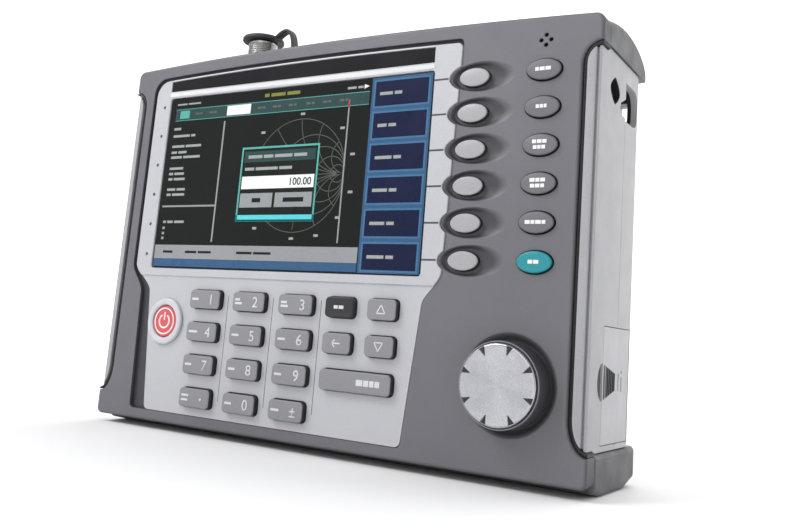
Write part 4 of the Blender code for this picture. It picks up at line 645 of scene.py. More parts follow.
# The screen: a pane of dark glass in the plate's window with the lit display seen on it. The
# picture is a generic chart, a dialog with a plain number and six blank menu fields.
left, right, low, high = glass_box
pane = rectangle(left, right, low, high, 1.5)
glass = smooth(moulded("screen_pane", pane, rounded_edge(0.25, -0.2, 4) + [(0, plate_back)]))
glass_dark = plastic("screen_glass", (0.013, 0.015, 0.014), (0.012, 0.014, 0.013), (0.10, 0.16), 3000.0, 0.0, 0.14)
wear(glass, glass_dark, "case", "screen_glass", "screen_glass")
lit = {
    "grey": ink("lit_grey", (0.27, 0.28, 0.29), 0.3, 0.1),
    "text": ink("lit_text", (0.30, 0.32, 0.31), 0.3, 0.12),
    "white": ink("lit_white", (0.70, 0.71, 0.70), 0.3, 0.2),
    "bar_teal": ink("lit_bar_teal", (0.030, 0.062, 0.062), 0.3, 0.05),
    "teal": ink("lit_teal", (0.09, 0.36, 0.31), 0.3, 0.12),
    "cyan": ink("lit_cyan", (0.09, 0.50, 0.55), 0.3, 0.2),
    "olive": ink("lit_olive", (0.20, 0.20, 0.05), 0.3, 0.1),
    "blue": ink("lit_blue", (0.040, 0.100, 0.200), 0.3, 0.1),
    "rim": ink("lit_rim", (0.060, 0.150, 0.270), 0.3, 0.12),
    "navy": ink("lit_navy", (0.010, 0.014, 0.045), 0.3, 0.05),
    "red": ink("lit_red", (0.45, 0.06, 0.07), 0.3, 0.1),
    "chart": ink("lit_chart", (0.11, 0.115, 0.10), 0.3, 0.08),
    "black": ink("lit_black", (0.012, 0.015, 0.014), 0.3, 0.0),
}


def shown(name, tone, level, shapes):
    """Shapes of one colour on the display; a higher level lies over a lower one."""
    return wear(printed(name, shapes, -0.21 - 0.025 * level, 0.02), lit[tone], "case", "screen_glass")


def frame_bars(box, width):
    """The four bars of a frame."""
    x0, x1, z0, z1 = box
    ends = [bar(x0, x1, z0, z0 + width), bar(x0, x1, z1 - width, z1)]
    return ends + [bar(x0, x0 + width, z0 + width, z1 - width), bar(x1 - width, x1, z0 + width, z1 - width)]


def chart_lines():
    """An impedance chart: circles that touch at the right end of the outer circle, and arcs through
    that same point, kept where they lie inside it."""
    x, z, radius = -14.5, 129.0, 28.0
    node = np.array((x + radius, z))
    lines = [ring_arc((node[0] - radius * s, z), (radius * s, radius * s), 0, 359, 90) for s in (1, 0.7, 0.48, 0.3, 0.15)]
    for s in (0.3, 0.6, 1.0, 1.8):
        for side in (-1, 1):
            turn = ring_arc((node[0], z + side * radius * s), (radius * s, radius * s), 0, 360, 240)
            inside = np.linalg.norm(turn - (x, z), axis=1) < radius
            start = np.argmax(inside & ~np.roll(inside, 1))
            kept = np.roll(turn, -start, axis=0)[: inside.sum()]
            lines.append(kept[::2])
    lines.append(np.array([(x - radius, z), (x, z), (x + radius, z)]))
    return [stroke(line, 0.32) for line in lines]


def text_bars(x, z, widths, height=1.3, gap=1.0):
    """A row of short bars that stands for a line of words."""
    lefts = x + np.concatenate([[0], np.cumsum(np.asarray(widths[:-1]) + gap)])
    return [bar(a, a + w, z - height / 2, z + height / 2) for a, w in zip(lefts, widths)]


shown("display_chart", "chart", 1, chart_lines())
shown("display_title_bar", "bar_teal", 1, [bar(-101.5, 23.8, 161.4, 167.9)])
shown("display_title_rim", "teal", 2, frame_bars((-101.5, 23.8, 161.4, 167.9), 0.3)[:2])
shown("display_tab", "white", 2, [bar(-64.6, -48.6, 162.2, 167.3)])
shown("display_tag", "teal", 2, [bar(-98.3, -91.4, 162.6, 166.9)])
tab_words = [piece for x in (-87, -77, -44, -34, -24, -13, -3, 7) for piece in text_bars(x, 164.7, (2.6, 1.8), 1.1, 0.6)]
shown("display_tab_words", "chart", 2, tab_words)
shown("display_heading", "olive", 1, text_bars(-40, 170.9, (3.0, 9.0, 8.0), 1.7, 1.2))
shown("display_corner_words", "text", 1, text_bars(-101, 170.6, (7, 9), 0.9) + text_bars(11, 170.3, (5, 3), 1.1))
shown("display_corner_mark", "white", 1, [np.array([(20.6, 169.3), (23.4, 170.4), (20.6, 171.5)])])
rows = ((157, (5,)), (153, (12, 3)), (147.3, (9, 11)), (144, (4, 6)), (141.3, (8, 12)), (135.2, (10,)))
rows += ((132.3, (3, 7)), (129.4, (3, 8)), (123.8, (6, 6)), (121.0, (3, 9)), (106.4, (2, 4, 7)))
rows += ((103.2, (1.6,)), (100.4, (1.6,)), (97.8, (1.6,)))
shown("display_side_words", "text", 1, [piece for z, widths in rows for piece in text_bars(-101.5, z, widths)])
rules = [bar(-66.0, -65.0, 96.0, 159.3), bar(-103.5, -66.0, 114.3, 115.2), bar(12.3, 13.1, 96.0, 160.6)]
shown("display_rules", "grey", 2, rules)
shown("display_marker", "red", 2, [bar(12.3, 13.1, 160.6, 164.6)])
ticks = [(-14.5, 159.6), (10, 151), (-38.5, 151.5), (17, 138), (17.5, 120), (11.5, 108), (0, 99.5), (-14.5, 98), (-38, 103)]
shown("display_chart_ticks", "text", 1, [bar(x - 1.3, x + 1.3, z - 0.6, z + 0.6) for x, z in ticks])
shown("display_status", "grey", 1, [bar(-105.2, 24.4, 87.0, 94.2)])
status_words = text_bars(-99, 90.6, (7,), 1.2) + text_bars(-83, 90.6, (8, 9), 1.2) + text_bars(-48, 90.6, (10, 11), 1.2)
shown("display_status_words", "black", 2, status_words)
shown("display_foot", "blue", 1, [bar(-105.2, 24.4, 82.9, 86.9)])
shown("display_menu_back", "blue", 1, [bar(25.0, 57.3, 82.6, 173.8)])
menu_rows = 166.0 - 15.2 * np.arange(6)
shown("display_menu_fields", "navy", 2, [bar(26.2, 56.3, z - 6.8, z + 6.8) for z in menu_rows])
menu_rims = [piece for z in menu_rows for piece in frame_bars((26.2, 56.3, z - 6.8, z + 6.8), 0.9)]
shown("display_menu_rims", "rim", 3, menu_rims)
menu_words = [piece for z, w in zip(menu_rows, (7, 5, 9, 8, 8, 9)) for piece in text_bars(29.6, z, (w, 4), 1.5)]
shown("display_menu_words", "text", 3, menu_words)
dialog = (-51.0, -2.3, 106.3, 144.3)
shown("display_dialog_back", "black", 2, [bar(*dialog)])
shown("display_dialog_rim", "teal", 3, frame_bars(dialog, 1.0))
shown("display_dialog_head", "bar_teal", 3, [bar(-49.0, -4.3, 136.4, 142.0)])
shown("display_dialog_words", "text", 4, text_bars(-46.5, 139.2, (9, 6, 11, 8), 1.6) + text_bars(-48, 133, (6, 14, 8), 1.5))
shown("display_dialog_field", "white", 3, [bar(-49.3, -4.0, 122.8, 129.2)])
shown("display_dialog_buttons", "grey", 3, [bar(-49.3, -28.6, 113.4, 120.6), bar(-27.0, -4.3, 113.4, 120.6)])
shown("display_button_words", "black", 4, text_bars(-41.5, 117, (5.5,), 2.2) + text_bars(-21.8, 117, (12.5,), 2.2))
shown("display_dialog_foot", "cyan", 3, [bar(-50.9, -2.4, 106.4, 109.6)])


def glyphs(name, text, x, z, height, depth, align="CENTER", heavy=0.0):
    """Plain characters as a thin mesh: the flat letters are turned up into the front view,
    with their cap height set and their middle at the given place."""
    curve = bpy.data.curves.new(name, "FONT")
    curve.body = text
    curve.size = 1.0
    curve.align_x = align
    curve.offset = heavy
    holder = bpy.data.objects.new(name, curve)
    bpy.context.collection.objects.link(holder)
    shape = bpy.context.evaluated_depsgraph_get()
    mesh = bpy.data.meshes.new_from_object(holder.evaluated_get(shape))
    bpy.data.objects.remove(holder)
    flat = np.empty(len(mesh.vertices) * 3)
    mesh.vertices.foreach_get("co", flat)
    flat = flat.reshape(-1, 3)
    tall = height / 0.7
    mesh.vertices.foreach_set("co", at(x + flat[:, 0] * tall, depth, z + (flat[:, 1] - 0.345) * tall).ravel())
    made = bpy.data.objects.new(name, mesh)
    bpy.context.collection.objects.link(made)
    work = bmesh.new()
    work.from_mesh(mesh)
    bmesh.ops.remove_doubles(work, verts=work.verts, dist=1e-7)
    bmesh.ops.recalc_face_normals(work, faces=work.faces)
    if sum(face.normal.y * face.calc_area() for face in work.faces) > 0:
        bmesh.ops.reverse_faces(work, faces=work.faces)
    work.to_mesh(mesh)
    work.free()
    thick = made.modifiers.new("ink", "SOLIDIFY")
    thick.thickness = 0.00003
    thick.offset = -1.0
    return made


number = glyphs("display_number", "100.00", -5.5, 126.0, 3.6, -0.33, "RIGHT", 0.012)
wear(number, lit["black"], "case", "screen_glass")


# The soft keys: six oval keys of silver painted plastic. Each stands in its scoop with a slightly
# domed top, rounded at the rim, on a flange that the case holds down.
key_flange, flange_thick, key_round = 0.6, 0.9, 0.6


def key_cap(name, outline, centre, proud, panel_back, dome, edge=key_round):
    """Flange, shank, quarter-round rim and a top that rises as 1 - s^2, where s shrinks the
    outline towards the key's centre."""
    below = panel_back + clearance
    rings = [(grow(outline, key_flange), below + flange_thick), (grow(outline, key_flange), below), (outline, below)]
    rings += [(grow(outline, out), depth) for out, depth in reversed(rounded_edge(edge, -proud, 6))]
    top = rings[-1][0]
    for s in np.linspace(1, 0.08, 9)[1:]:
        rings.append((centre + (top - centre) * s, -proud - dome * (1 - s ** 2)))
    return smooth(skin(name, np.stack([at(ring[:, 0], depth, ring[:, 1]) for ring, depth in rings])))


soft_paint = plastic("soft_key_paint", (0.37, 0.37, 0.39), (0.345, 0.345, 0.365), (0.30, 0.40), 3600.0, 0.05)
# Painted shade: below the front face, from 0.35 mm to 0.75 mm behind it, the keys' sides darken to near black.
graded(soft_paint, (0.045, 0.045, 0.05), 0.35, 0.75)
for number_in_column, z in enumerate(row_heights, 1):
    centre = np.array((soft_x, z))
    key = key_cap(f"soft_key_{number_in_column}_cap", oval(*centre, *soft_size, 64), centre, 0.2, face_wall, 0.3)
    wear(key, soft_paint, f"soft_key_{number_in_column}", "key_silver", f"soft_key_{number_in_column}")


# The function keys: six larger ovals that stand 1.8 mm proud, moulded in the grey of the case, the
# last one in teal. Each carries one or two rows of white print, here plain bars.
white_ink = ink("white_ink", (0.82, 0.82, 0.82), 0.5)
grey_key = plastic("grey_key_plastic", (0.146, 0.144, 0.158), (0.134, 0.132, 0.146), (0.38, 0.50), 2800.0, 0.08)
# Painted shade: the colour darkens to near black down the key's sides, from 1.25 mm to 0.75 mm in front of the face and
# all the way behind.
graded(grey_key, (0.022, 0.022, 0.026), -1.25, -0.75)
teal_key = plastic("teal_key_plastic", (0.012, 0.27, 0.31), (0.010, 0.245, 0.285), (0.34, 0.44), 2800.0, 0.08)
# Painted shade: the teal key's sides darken the same way.
graded(teal_key, (0.010, 0.060, 0.072), -1.25, -0.75)
function_print = (
    ((1.6, 2.2, 2.4),),
    ((1.4, 1.4, 1.2),),
    ((1.8, 2.0, 1.8), (1.6, 1.4, 1.6)),
    ((2.2, 1.8, 2.0), (1.8, 2.0, 1.6)),
    ((2.2, 1.6, 2.4, 1.6),),
    ((2.0, 2.2),),
)
for number_in_column, (z, lines) in enumerate(zip(row_heights, function_print), 1):
    centre = np.array((function_x, z))
    body = f"function_key_{number_in_column}"
    key = key_cap(body + "_cap", oval(*centre, *function_size, 64), centre, 1.8, face_wall, 0.3, 0.9)
    last = number_in_column == len(row_heights)
    wear(key, teal_key if last else grey_key, body, "key_teal" if last else "key_grey", body)
    lefts = [
        (function_x - (sum(line) + 0.35 * (len(line) - 1)) / 2, z + 1.2 * (len(lines) - 1) - 2.4 * i, line)
        for i, line in enumerate(lines)
    ]
    words = [piece for x, height, line in lefts for piece in text_bars(x, height, line, 1.55, 0.35)]
    wear(printed(body + "_print", words, -2.14, 0.1), white_ink, body, "key_silver")


# The keypad: seventeen grey keys with rounded corners and faintly domed tops; only escape is black all over. The grey
# keys carry painted shade: their sides darken to near black behind the top. The digits are printed to the right, with
# small bars in place of words on their left; the other keys carry plain signs.
key_proud, key_dome = 3.0, 0.15
pad_key = plastic("pad_key_rubber", (0.250, 0.250, 0.268), (0.232, 0.232, 0.25), (0.44, 0.56), 2800.0, 0.08)
# Painted shade: the grey key's colour darkens to near black from 0.3 mm to 0.62 mm behind its top, over the sides.
graded(pad_key, (0.016, 0.016, 0.019), 0.30 - key_proud, 0.62 - key_proud)
black_key = plastic("black_key_rubber", (0.022, 0.022, 0.027), (0.018, 0.018, 0.022), (0.34, 0.46), 2800.0, 0.08)
legend_ink = ink("legend_ink", (0.66, 0.66, 0.68), 0.5)
legend_depth = -key_proud - key_dome - 0.03


def triangle_sign(x, z, turn):
    """An outlined triangle that points along a turn in degrees: three bars."""
    a = np.radians(turn + np.array([0.0, 120.0, 240.0]))
    tips = np.stack([x + 2.5 * np.cos(a), z + 2.5 * np.sin(a)], axis=1)
    return [stroke([tips[i], tips[(i + 1) % 3]], 0.55) for i in range(3)]


word_bars = {
    "1": ((0, 4.2),), "2": ((0.9, 3.0), (-0.9, 4.4)), "3": ((0.9, 3.4), (-0.9, 4.2)), "4": ((0, 5.6),), "5": ((0, 4.4),),
    "6": ((0, 4.4),), "7": ((0, 4.2),), "8": ((0, 4.2),), "9": ((0, 4.2),), "0": ((0, 4.2),), "sign": ((0, 4.6),),
    "point": ((1.1, 4.6), (-1.1, 4.2)),
}
for name, x, z, width in keypad_keys:
    body = "key_" + name
    cap = key_cap(body + "_cap", key_outline(x, z, width), np.array((x, z)), key_proud, plate_back, key_dome)
    is_black = name == "escape"
    wear(cap, black_key if is_black else pad_key, body, "key_black" if is_black else "key_grey", body)
    if name.isdigit() or name == "sign":
        legend = glyphs(body + "_legend", "±" if name == "sign" else name, x + 4.6, z, 5.0, legend_depth, heavy=0.008)
        wear(legend, legend_ink, body, "key_silver")
    signs = {
        "point": [oval(x + 4.6, z - 0.3, 1.3, 1.3, 20)],
        "up": triangle_sign(x, z - 0.5, 90),
        "down": triangle_sign(x, z + 0.5, 270),
        "escape": text_bars(x - 2.6, z, (2.2, 2.6), 1.5, 0.5),
        "back": [stroke([(x - 0.4, z + 1.6), (x - 2.2, z), (x - 0.4, z - 1.6)], 0.6), bar(x - 2.2, x + 2.4, z - 0.3, z + 0.3)],
        "enter": text_bars(x + 1.5, z, (3.4, 2.6, 2.2, 2.4), 2.6, 0.5),
    }
    marks = signs.get(name, [])
    marks += [bar(x - 8.0, x - 8.0 + length, z + up - 0.55, z + up + 0.55) for up, length in word_bars.get(name, ())]
    wear(printed(body + "_marks", marks, legend_depth, 0.12), legend_ink, body, "key_silver")


# The power button: a red domed button that stands in a raised silver ring, with the usual
# on-off sign printed in white.
power_ring_radius, power_radius = 11.75, 8.0
ring_paint = plastic("power_ring_paint", (0.58, 0.59, 0.62), (0.54, 0.55, 0.58), (0.30, 0.40), 3600.0, 0.05)
button_red = plastic("power_button_red", (0.66, 0.085, 0.095), (0.61, 0.078, 0.088), (0.34, 0.44), 2800.0, 0.06)
turn = np.linspace(0, np.pi, 15)
ring_middle, ring_half = (8.3 + power_ring_radius) / 2, (power_ring_radius - 8.3) / 2
ring_profile = np.stack([ring_middle - ring_half * np.cos(turn), 0.9 + 1.1 * np.sin(turn) ** 0.7], axis=1)
ring_profile = np.concatenate([[(8.3, 0.3)], ring_profile, [(power_ring_radius, 0.3), (8.3, 0.3)]])
ring = turned("power_ring_disc", (power_x, 0, power_z), ring_profile, 96, ends=False)
wear(smooth(ring), ring_paint, "case", "key_silver", "power_ring")
button = key_cap("power_button_cap", oval(power_x, power_z, 16, 16, 72), np.array((power_x, power_z)), 1.2, plate_back, 0.2)
wear(button, button_red, "power_button", "power_red", "power_button")
sign = [stroke(ring_arc((power_x, power_z), (3.4, 3.4), 120, 420, 40), 0.85)]
sign.append(bar(power_x - 0.42, power_x + 0.42, power_z + 0.6, power_z + 4.6))
sign.append(stroke(ring_arc((power_x, power_z), (6.5, 6.5), 0, 359, 60), 0.7))
wear(printed("power_sign", sign, -1.42, 0.12), white_ink, "power_button", "key_silver")


# The tuning knob: a dark turned body that runs in the dish, with a painted highlight round its rim, a thin lighter ring
# where the edge catches the light, and a satin silver cap with a bevelled edge and eight wedge marks sunk in its face.
# It is pushed onto the steel shaft of the encoder.
knob_radius, knob_shoulder, cap_radius, cap_foot, knob_proud, cap_bevel = 17.3, 9.1, 16.2, 9.2, 11.0, 1.0
notch_start, notch_count, notch_inner, notch_outer, notch_half = 27.0, 8, 11.8, 15.9, 1.45


def turned_metal_group():
    """Turned metal: fine rings round the knob's axis in colour and roughness, over slow blotches."""
    group, start, end = new_group(
        "turned_metal",
        [
            ("Colour", "NodeSocketColor", (0.6, 0.6, 0.6, 1)),
            ("Centre", "NodeSocketVector", (0, 0, 0)),
            ("Rings", "NodeSocketFloat", 900.0),
        ],
        [("Colour", "NodeSocketColor"), ("Roughness", "NodeSocketFloat"), ("Height", "NodeSocketFloat")],
    )
    place = group.nodes.new("ShaderNodeTexCoord").outputs["Object"]
    away = group.nodes.new("ShaderNodeVectorMath")
    away.operation = "SUBTRACT"
    group.links.new(place, away.inputs[0])
    group.links.new(start.outputs["Centre"], away.inputs[1])
    wave = group.nodes.new("ShaderNodeTexWave")
    wave.wave_type = "RINGS"
    wave.rings_direction = "Y"
    wave.inputs["Distortion"].default_value = 0.6
    group.links.new(away.outputs["Vector"], wave.inputs["Vector"])
    group.links.new(start.outputs["Rings"], wave.inputs["Scale"])
    tone = range_node(group, wave.outputs["Fac"], 0.0, 1.0, 0.985, 1.01)
    blotch = range_node(group, noise_node(group, 60, 3, place), 0.3, 0.7, 0.95, 1.05)
    lined = mix_node(group, 1.0, start.outputs["Colour"], tone, "MULTIPLY")
    group.links.new(mix_node(group, 1.0, lined, blotch, "MULTIPLY"), end.inputs["Colour"])
    group.links.new(range_node(group, noise_node(group, 300, 3, place), 0.3, 0.7, 0.2, 0.34), end.inputs["Roughness"])
    group.links.new(wave.outputs["Fac"], end.inputs["Height"])
    return group


turned_metal = turned_metal_group()


def metal(name, colour, centre, rings=900.0, metallic=1.0, fans=0.0):
    """A Principled metal with the turned lines round one centre, given in metres. Fans are the bright
    sectors of a turned face: anisotropy along the direction round the front axis."""
    made = bpy.data.materials.new(name)
    made.use_nodes = True
    tree = made.node_tree
    shader = tree.nodes["Principled BSDF"]
    shader.inputs["Metallic"].default_value = metallic
    look = tree.nodes.new("ShaderNodeGroup")
    look.node_tree = turned_metal
    look.inputs["Colour"].default_value = (*colour, 1)
    look.inputs["Centre"].default_value = centre
    look.inputs["Rings"].default_value = rings
    bump = tree.nodes.new("ShaderNodeBump")
    bump.inputs["Strength"].default_value = 0.05
    bump.inputs["Distance"].default_value = 0.0001
    tree.links.new(look.outputs["Colour"], shader.inputs["Base Color"])
    tree.links.new(look.outputs["Roughness"], shader.inputs["Roughness"])
    tree.links.new(look.outputs["Height"], bump.inputs["Height"])
    tree.links.new(bump.outputs["Normal"], shader.inputs["Normal"])
    if fans:
        shader.inputs["Anisotropic"].default_value = fans
        spoke = tree.nodes.new("ShaderNodeVectorMath")
        spoke.operation = "SUBTRACT"
        spoke.inputs[1].default_value = centre
        tree.links.new(tree.nodes.new("ShaderNodeTexCoord").outputs["Object"], spoke.inputs[0])
        round_way = tree.nodes.new("ShaderNodeVectorMath")
        round_way.operation = "CROSS_PRODUCT"
        round_way.inputs[1].default_value = (0, 1, 0)
        tree.links.new(spoke.outputs["Vector"], round_way.inputs[0])
        to_world = tree.nodes.new("ShaderNodeVectorTransform")
        to_world.convert_from, to_world.convert_to = "OBJECT", "WORLD"
        tree.links.new(round_way.outputs["Vector"], to_world.inputs["Vector"])
        tree.links.new(to_world.outputs["Vector"], shader.inputs["Tangent"])
    return made


def wedge(angle, inner, outer, spread):
    """A triangle with its point towards the knob's axis."""
    corners = np.array([(inner, 0), (outer, -spread), (outer, spread)])
    c, s = math.cos(angle), math.sin(angle)
    return np.stack([knob_x + corners[:, 0] * c - corners[:, 1] * s, knob_z + corners[:, 0] * s + corners[:, 1] * c], axis=1)


def knob_body():
    """The dark body: a plain cylinder with a small round shoulder and a groove under the cap."""
    turn = np.linspace(0, np.pi / 2, 6)
    shoulder = [(knob_radius - 0.5 + 0.5 * math.cos(a), knob_shoulder - 0.5 + 0.5 * math.sin(a)) for a in turn]
    profile = [(0, 0.3 - dish_depth), (knob_radius - 0.4, 0.3 - dish_depth), (knob_radius, 0.7 - dish_depth)] + shoulder
    profile += [(cap_radius + 0.1, knob_shoulder), (cap_radius - 0.5, knob_shoulder - 0.3), (0, knob_shoulder - 0.3)]
    socket = turned("socket", (knob_x, 0, knob_z), [(3.3, -9), (3.3, 5.8)], 32)
    return smooth(carve(turned("tuning_knob_body", (knob_x, 0, knob_z), profile, 144), [socket]))


def knob_cap():
    """The silver disc: a straight edge, a round bevel and a face that is dished by 0.25 mm."""
    bevel = [
        (cap_radius - cap_bevel * (1 - math.cos(a)), knob_proud - 0.8 * cap_bevel * (1 - math.sin(a)))
        for a in np.linspace(0, np.pi / 2, 7)
    ]
    rim = cap_radius - cap_bevel
    dished = [(r, knob_proud - 0.25 * (1 - (r / rim) ** 2)) for r in np.linspace(rim, 0, 9)[1:]]
    foot = [(0, cap_foot - 0.35), (cap_radius - 0.7, cap_foot - 0.35), (cap_radius - 0.7, cap_foot), (cap_radius, cap_foot)]
    cap = turned("tuning_knob_cap", (knob_x, 0, knob_z), foot + bevel + dished, 144)
    angles = np.radians(notch_start + 45 * np.arange(notch_count))
    notches = [wedge(a, notch_inner, notch_outer, notch_half) for a in angles]
    cutters = [moulded("notch", notch, [(0, -20), (0, 0.7 - knob_proud)]) for notch in notches]
    return smooth(carve(cap, cutters))


knob_centre = (knob_x / 1000, 0, knob_z / 1000)
rim_highlight_paint = ink("rim_highlight_paint", (0.30, 0.30, 0.32), 0.3)
knob_dark = plastic("knob_dark", (0.052, 0.052, 0.058), (0.046, 0.046, 0.052), (0.36, 0.48), 2600.0, 0.06)
wear(knob_body(), knob_dark, "knob", "key_black", "tuning_knob")
# Painted highlight: a thin ring of lighter grey round the body's front edge stands in for the light that the edge
# catches.
rim_section = [(16.75, 9.06), (17.05, 9.06), (17.05, 9.2), (16.75, 9.2), (16.75, 9.06)]
rim_highlight = turned("knob_rim_highlight", (knob_x, 0, knob_z), rim_section, 144, ends=False)
wear(rim_highlight, rim_highlight_paint, "knob", "key_silver")
knob_silver = metal("knob_silver", (0.50, 0.50, 0.53), knob_centre, 1400.0, 1.0, 0.8)
wear(knob_cap(), knob_silver, "knob", "key_silver")
notch_angles = np.radians(notch_start + 45 * np.arange(notch_count))
fills = [wedge(a, notch_inner + 0.3, notch_outer - 0.2, notch_half - 0.25) for a in notch_angles]
notch_dark = ink("notch_dark", (0.045, 0.045, 0.05), 0.5)
wear(printed("knob_notch_fills", fills, 0.45 - knob_proud, 0.3), notch_dark, "knob", "key_black")


# The gaskets: a black elastomer band round the waist on each side, which fills the gap between the
# front case and the side cover from just under the face to the joint of the two mouldings.
gasket_thick, gasket_face, waist_points = 1.3, 0.8, slice(7, 37)


def gasket(label, side):
    """The part of the outline along the waist, grown by the clearance and by the thickness on top
    of it, carried back from its rounded face."""
    shape, edge = front_outline(), gasket_face + 0.3
    near, middle, far = (grow(shape, clearance + t)[waist_points] for t in (0, gasket_thick / 2, gasket_thick))
    sections = ((near, front_depth), (near, edge), (middle, gasket_face), (far, edge), (far, front_depth))
    rings = [at(side * ring[:, 0].clip(max=half_width), depth, ring[:, 1]) for ring, depth in sections]
    return smooth(skin(label, np.stack(rings, axis=1)))


seal = plastic("gasket_elastomer", (0.018, 0.018, 0.020), (0.015, 0.015, 0.017), (0.5, 0.62), 2400.0, 0.1, 0.35)
wear(gasket("gasket_left_seal", -1), seal, "case", "graphite_rubber", "gasket_left")
wear(gasket("gasket_right_seal", 1), seal, "case", "graphite_rubber", "gasket_right")


# The side covers: one light grey moulding on each side, bent round the corner from a slightly
# crowned front strip to the side wall, with a groove at the corner. Their ends follow the waist;
# the strap eyelet opens through them, and the right one has the thumb notch of the battery door.
housing_low, housing_top, cover_x, cover_thick, cover_back = 17.0, 180.7, 134.0, 2.5, 36.0
groove, eye_z = 1.9, 164.0
door_box = (18.5, 54.0, 19.5, 66.0)
thumb_z, thumb_size, thumb_depth = 44.0, (6.5, 15.0), 1.8


def dressed(node, label, material, body, slot, bevel=0.3, degrees=30, segments=2):
    """A finished copy of a solid: its triangles merged into flat faces, the sharp edges rounded by
    a small bevel, and smooth shading up to an angle."""
    mesh = nodes[node].data.copy()
    work = bmesh.new()
    work.from_mesh(mesh)
    bmesh.ops.remove_doubles(work, verts=work.verts, dist=1e-6)
    bmesh.ops.dissolve_limit(work, angle_limit=math.radians(0.4), verts=work.verts, edges=work.edges)
    work.to_mesh(mesh)
    work.free()
    made = bpy.data.objects.new(label, mesh)
    bpy.context.collection.objects.link(made)
    if bevel:
        round_off = made.modifiers.new("edges", "BEVEL")
        round_off.width = bevel / 1000
        round_off.segments = segments
        round_off.limit_method = "ANGLE"
        round_off.angle_limit = math.radians(degrees)
        round_off.harden_normals = False
    made.data.shade_smooth()
    made.data.set_sharp_from_angle(angle=math.radians(degrees))
    even = made.modifiers.new("even_normals", "WEIGHTED_NORMAL")
    even.keep_sharp = True
    return wear(made, material, body, slot, node)


def side_prism(name, outline, x0, x1):
    """An outline of the side view, as (depth, z), carried from one x to another."""
    return skin(name, np.stack([at(x, outline[:, 0], outline[:, 1]) for x in (x0, x1)]))


def lens(front, back, low, high, count=16):
    """An upright lens of two arcs that meet in blunt points: depth goes as 1 - |s|^1.8 on both sides."""
    s = np.linspace(-1, 1, count)
    half = (back - front) / 2 * (0.06 + 0.94 * (1 - np.abs(s) ** 1.8))
    middle, height = (back + front) / 2, low + (high - low) * (1 + s) / 2
    right, left = (np.stack([middle + way * half, height], axis=1) for way in (1, -1))
    return np.concatenate([right, left[::-1]])


# The two openings of a strap eyelet: the front one is a lens, the rear one bends round the light
# bar that the strap goes over.
eye_front = lens(14.3, 27.6, 158.8, 170.6)
eye_corners = [(28.6, 157.4, 2.0), (43.5, 155.8, 5.0), (54.0, 163.5, 5.0), (53.6, 172.2, 4.0)]
eye_rear = rounded(eye_corners + [(41.0, 172.2, 2.0), (37.0, 165.6, 2.0), (28.6, 161.6, 1.5)])


def cover_section(side):
    """A side cover from above: crowned strip, rounded corner with its groove, and the wall."""
    inner, edge, wall = waist - overrun, cover_x - groove, cover_x - cover_thick
    a = np.radians(np.linspace(240, 360, 13))
    strip = np.stack([(inner + edge) / 2 + (edge - inner) / 2 * np.cos(a), gasket_face + gasket_face * np.sin(a)], axis=1)
    b = np.linspace(0, np.pi / 2, 7)
    corner = np.stack([cover_x - 0.9 * (1 - np.sin(b)), 2.6 - 0.9 * np.cos(b)], axis=1)
    points = [(inner, gasket_face), *strip, (edge + 0.1, 2.7), (edge + 0.7, 2.7), *corner]
    points += [(cover_x, cover_back), (wall, cover_back), (wall, cover_thick + gasket_face), (inner, cover_thick + gasket_face)]
    return np.array(points) * (side, 1)


def side_cover(label, side):
    """The section carried up the case, then cut to the waist, the eyelet, the door and the notch."""
    section = cover_section(side)
    cover = skin(label, np.stack([at(section[:, 0], section[:, 1], z) for z in (housing_low, housing_top)]))
    ring = grow(front_outline(), 2 * clearance + gasket_thick)
    inner, outer = side * (cover_x - 2 * overrun), side * (cover_x + overrun)
    cutters = [moulded("waist_cut", ring, [(0, -overrun), (0, front_depth + clearance)])]
    cutters += [side_prism("eye", eye, inner, outer) for eye in (eye_front, eye_rear)]
    if side > 0:
        front, back, low, high = door_box
        notch = bar(front - clearance, cover_back + overrun, low - clearance, high + clearance)
        cutters.append(side_prism("door_notch", notch, inner, outer))
        thumb = ring_arc((front, thumb_z), (thumb_size[0], thumb_size[1] / 2), 90, 270, 17)
        cutters.append(side_prism("thumb", thumb, cover_x - thumb_depth, outer))
    return smooth(carve(cover, cutters))


light_plastic = plastic("light_case_plastic", (0.355, 0.355, 0.373), (0.337, 0.337, 0.355), (0.44, 0.58), 2400.0, 0.12)
# Painted light: the colour grows lighter towards the rear, from 2 mm to 50 mm behind the front face, for the light that
# falls on the rear of the sides; the housing shares it.
graded(light_plastic, (0.40, 0.40, 0.41), 2.0, 50.0)
# Painted shade for the strap eyelets: a near-black colour for their linings.
eyelet_shade_dark = plastic("strap_liner_rubber", (0.016, 0.016, 0.018), (0.013, 0.013, 0.015), (0.5, 0.62), 2400.0, 0.1, 0.35)
wear(side_cover("side_cover_left_shell", -1), light_plastic, "case", "light_case", "side_cover_left")
wear(side_cover("side_cover_right_shell", 1), light_plastic, "case", "light_case", "side_cover_right")


# The housing: the light rear moulding that carries the boards, the battery and the port. Its back has the stand's well,
# two banks of vents and four sunk screws. Each strap eyelet is lined with painted shade: a near-black cup inside the
# housing, which leaves the strap's way out through the back, and a near-black sleeve round the cover's opening.
dressed("housing", "housing_shell", light_plastic, "case", "light_case", 0.3)
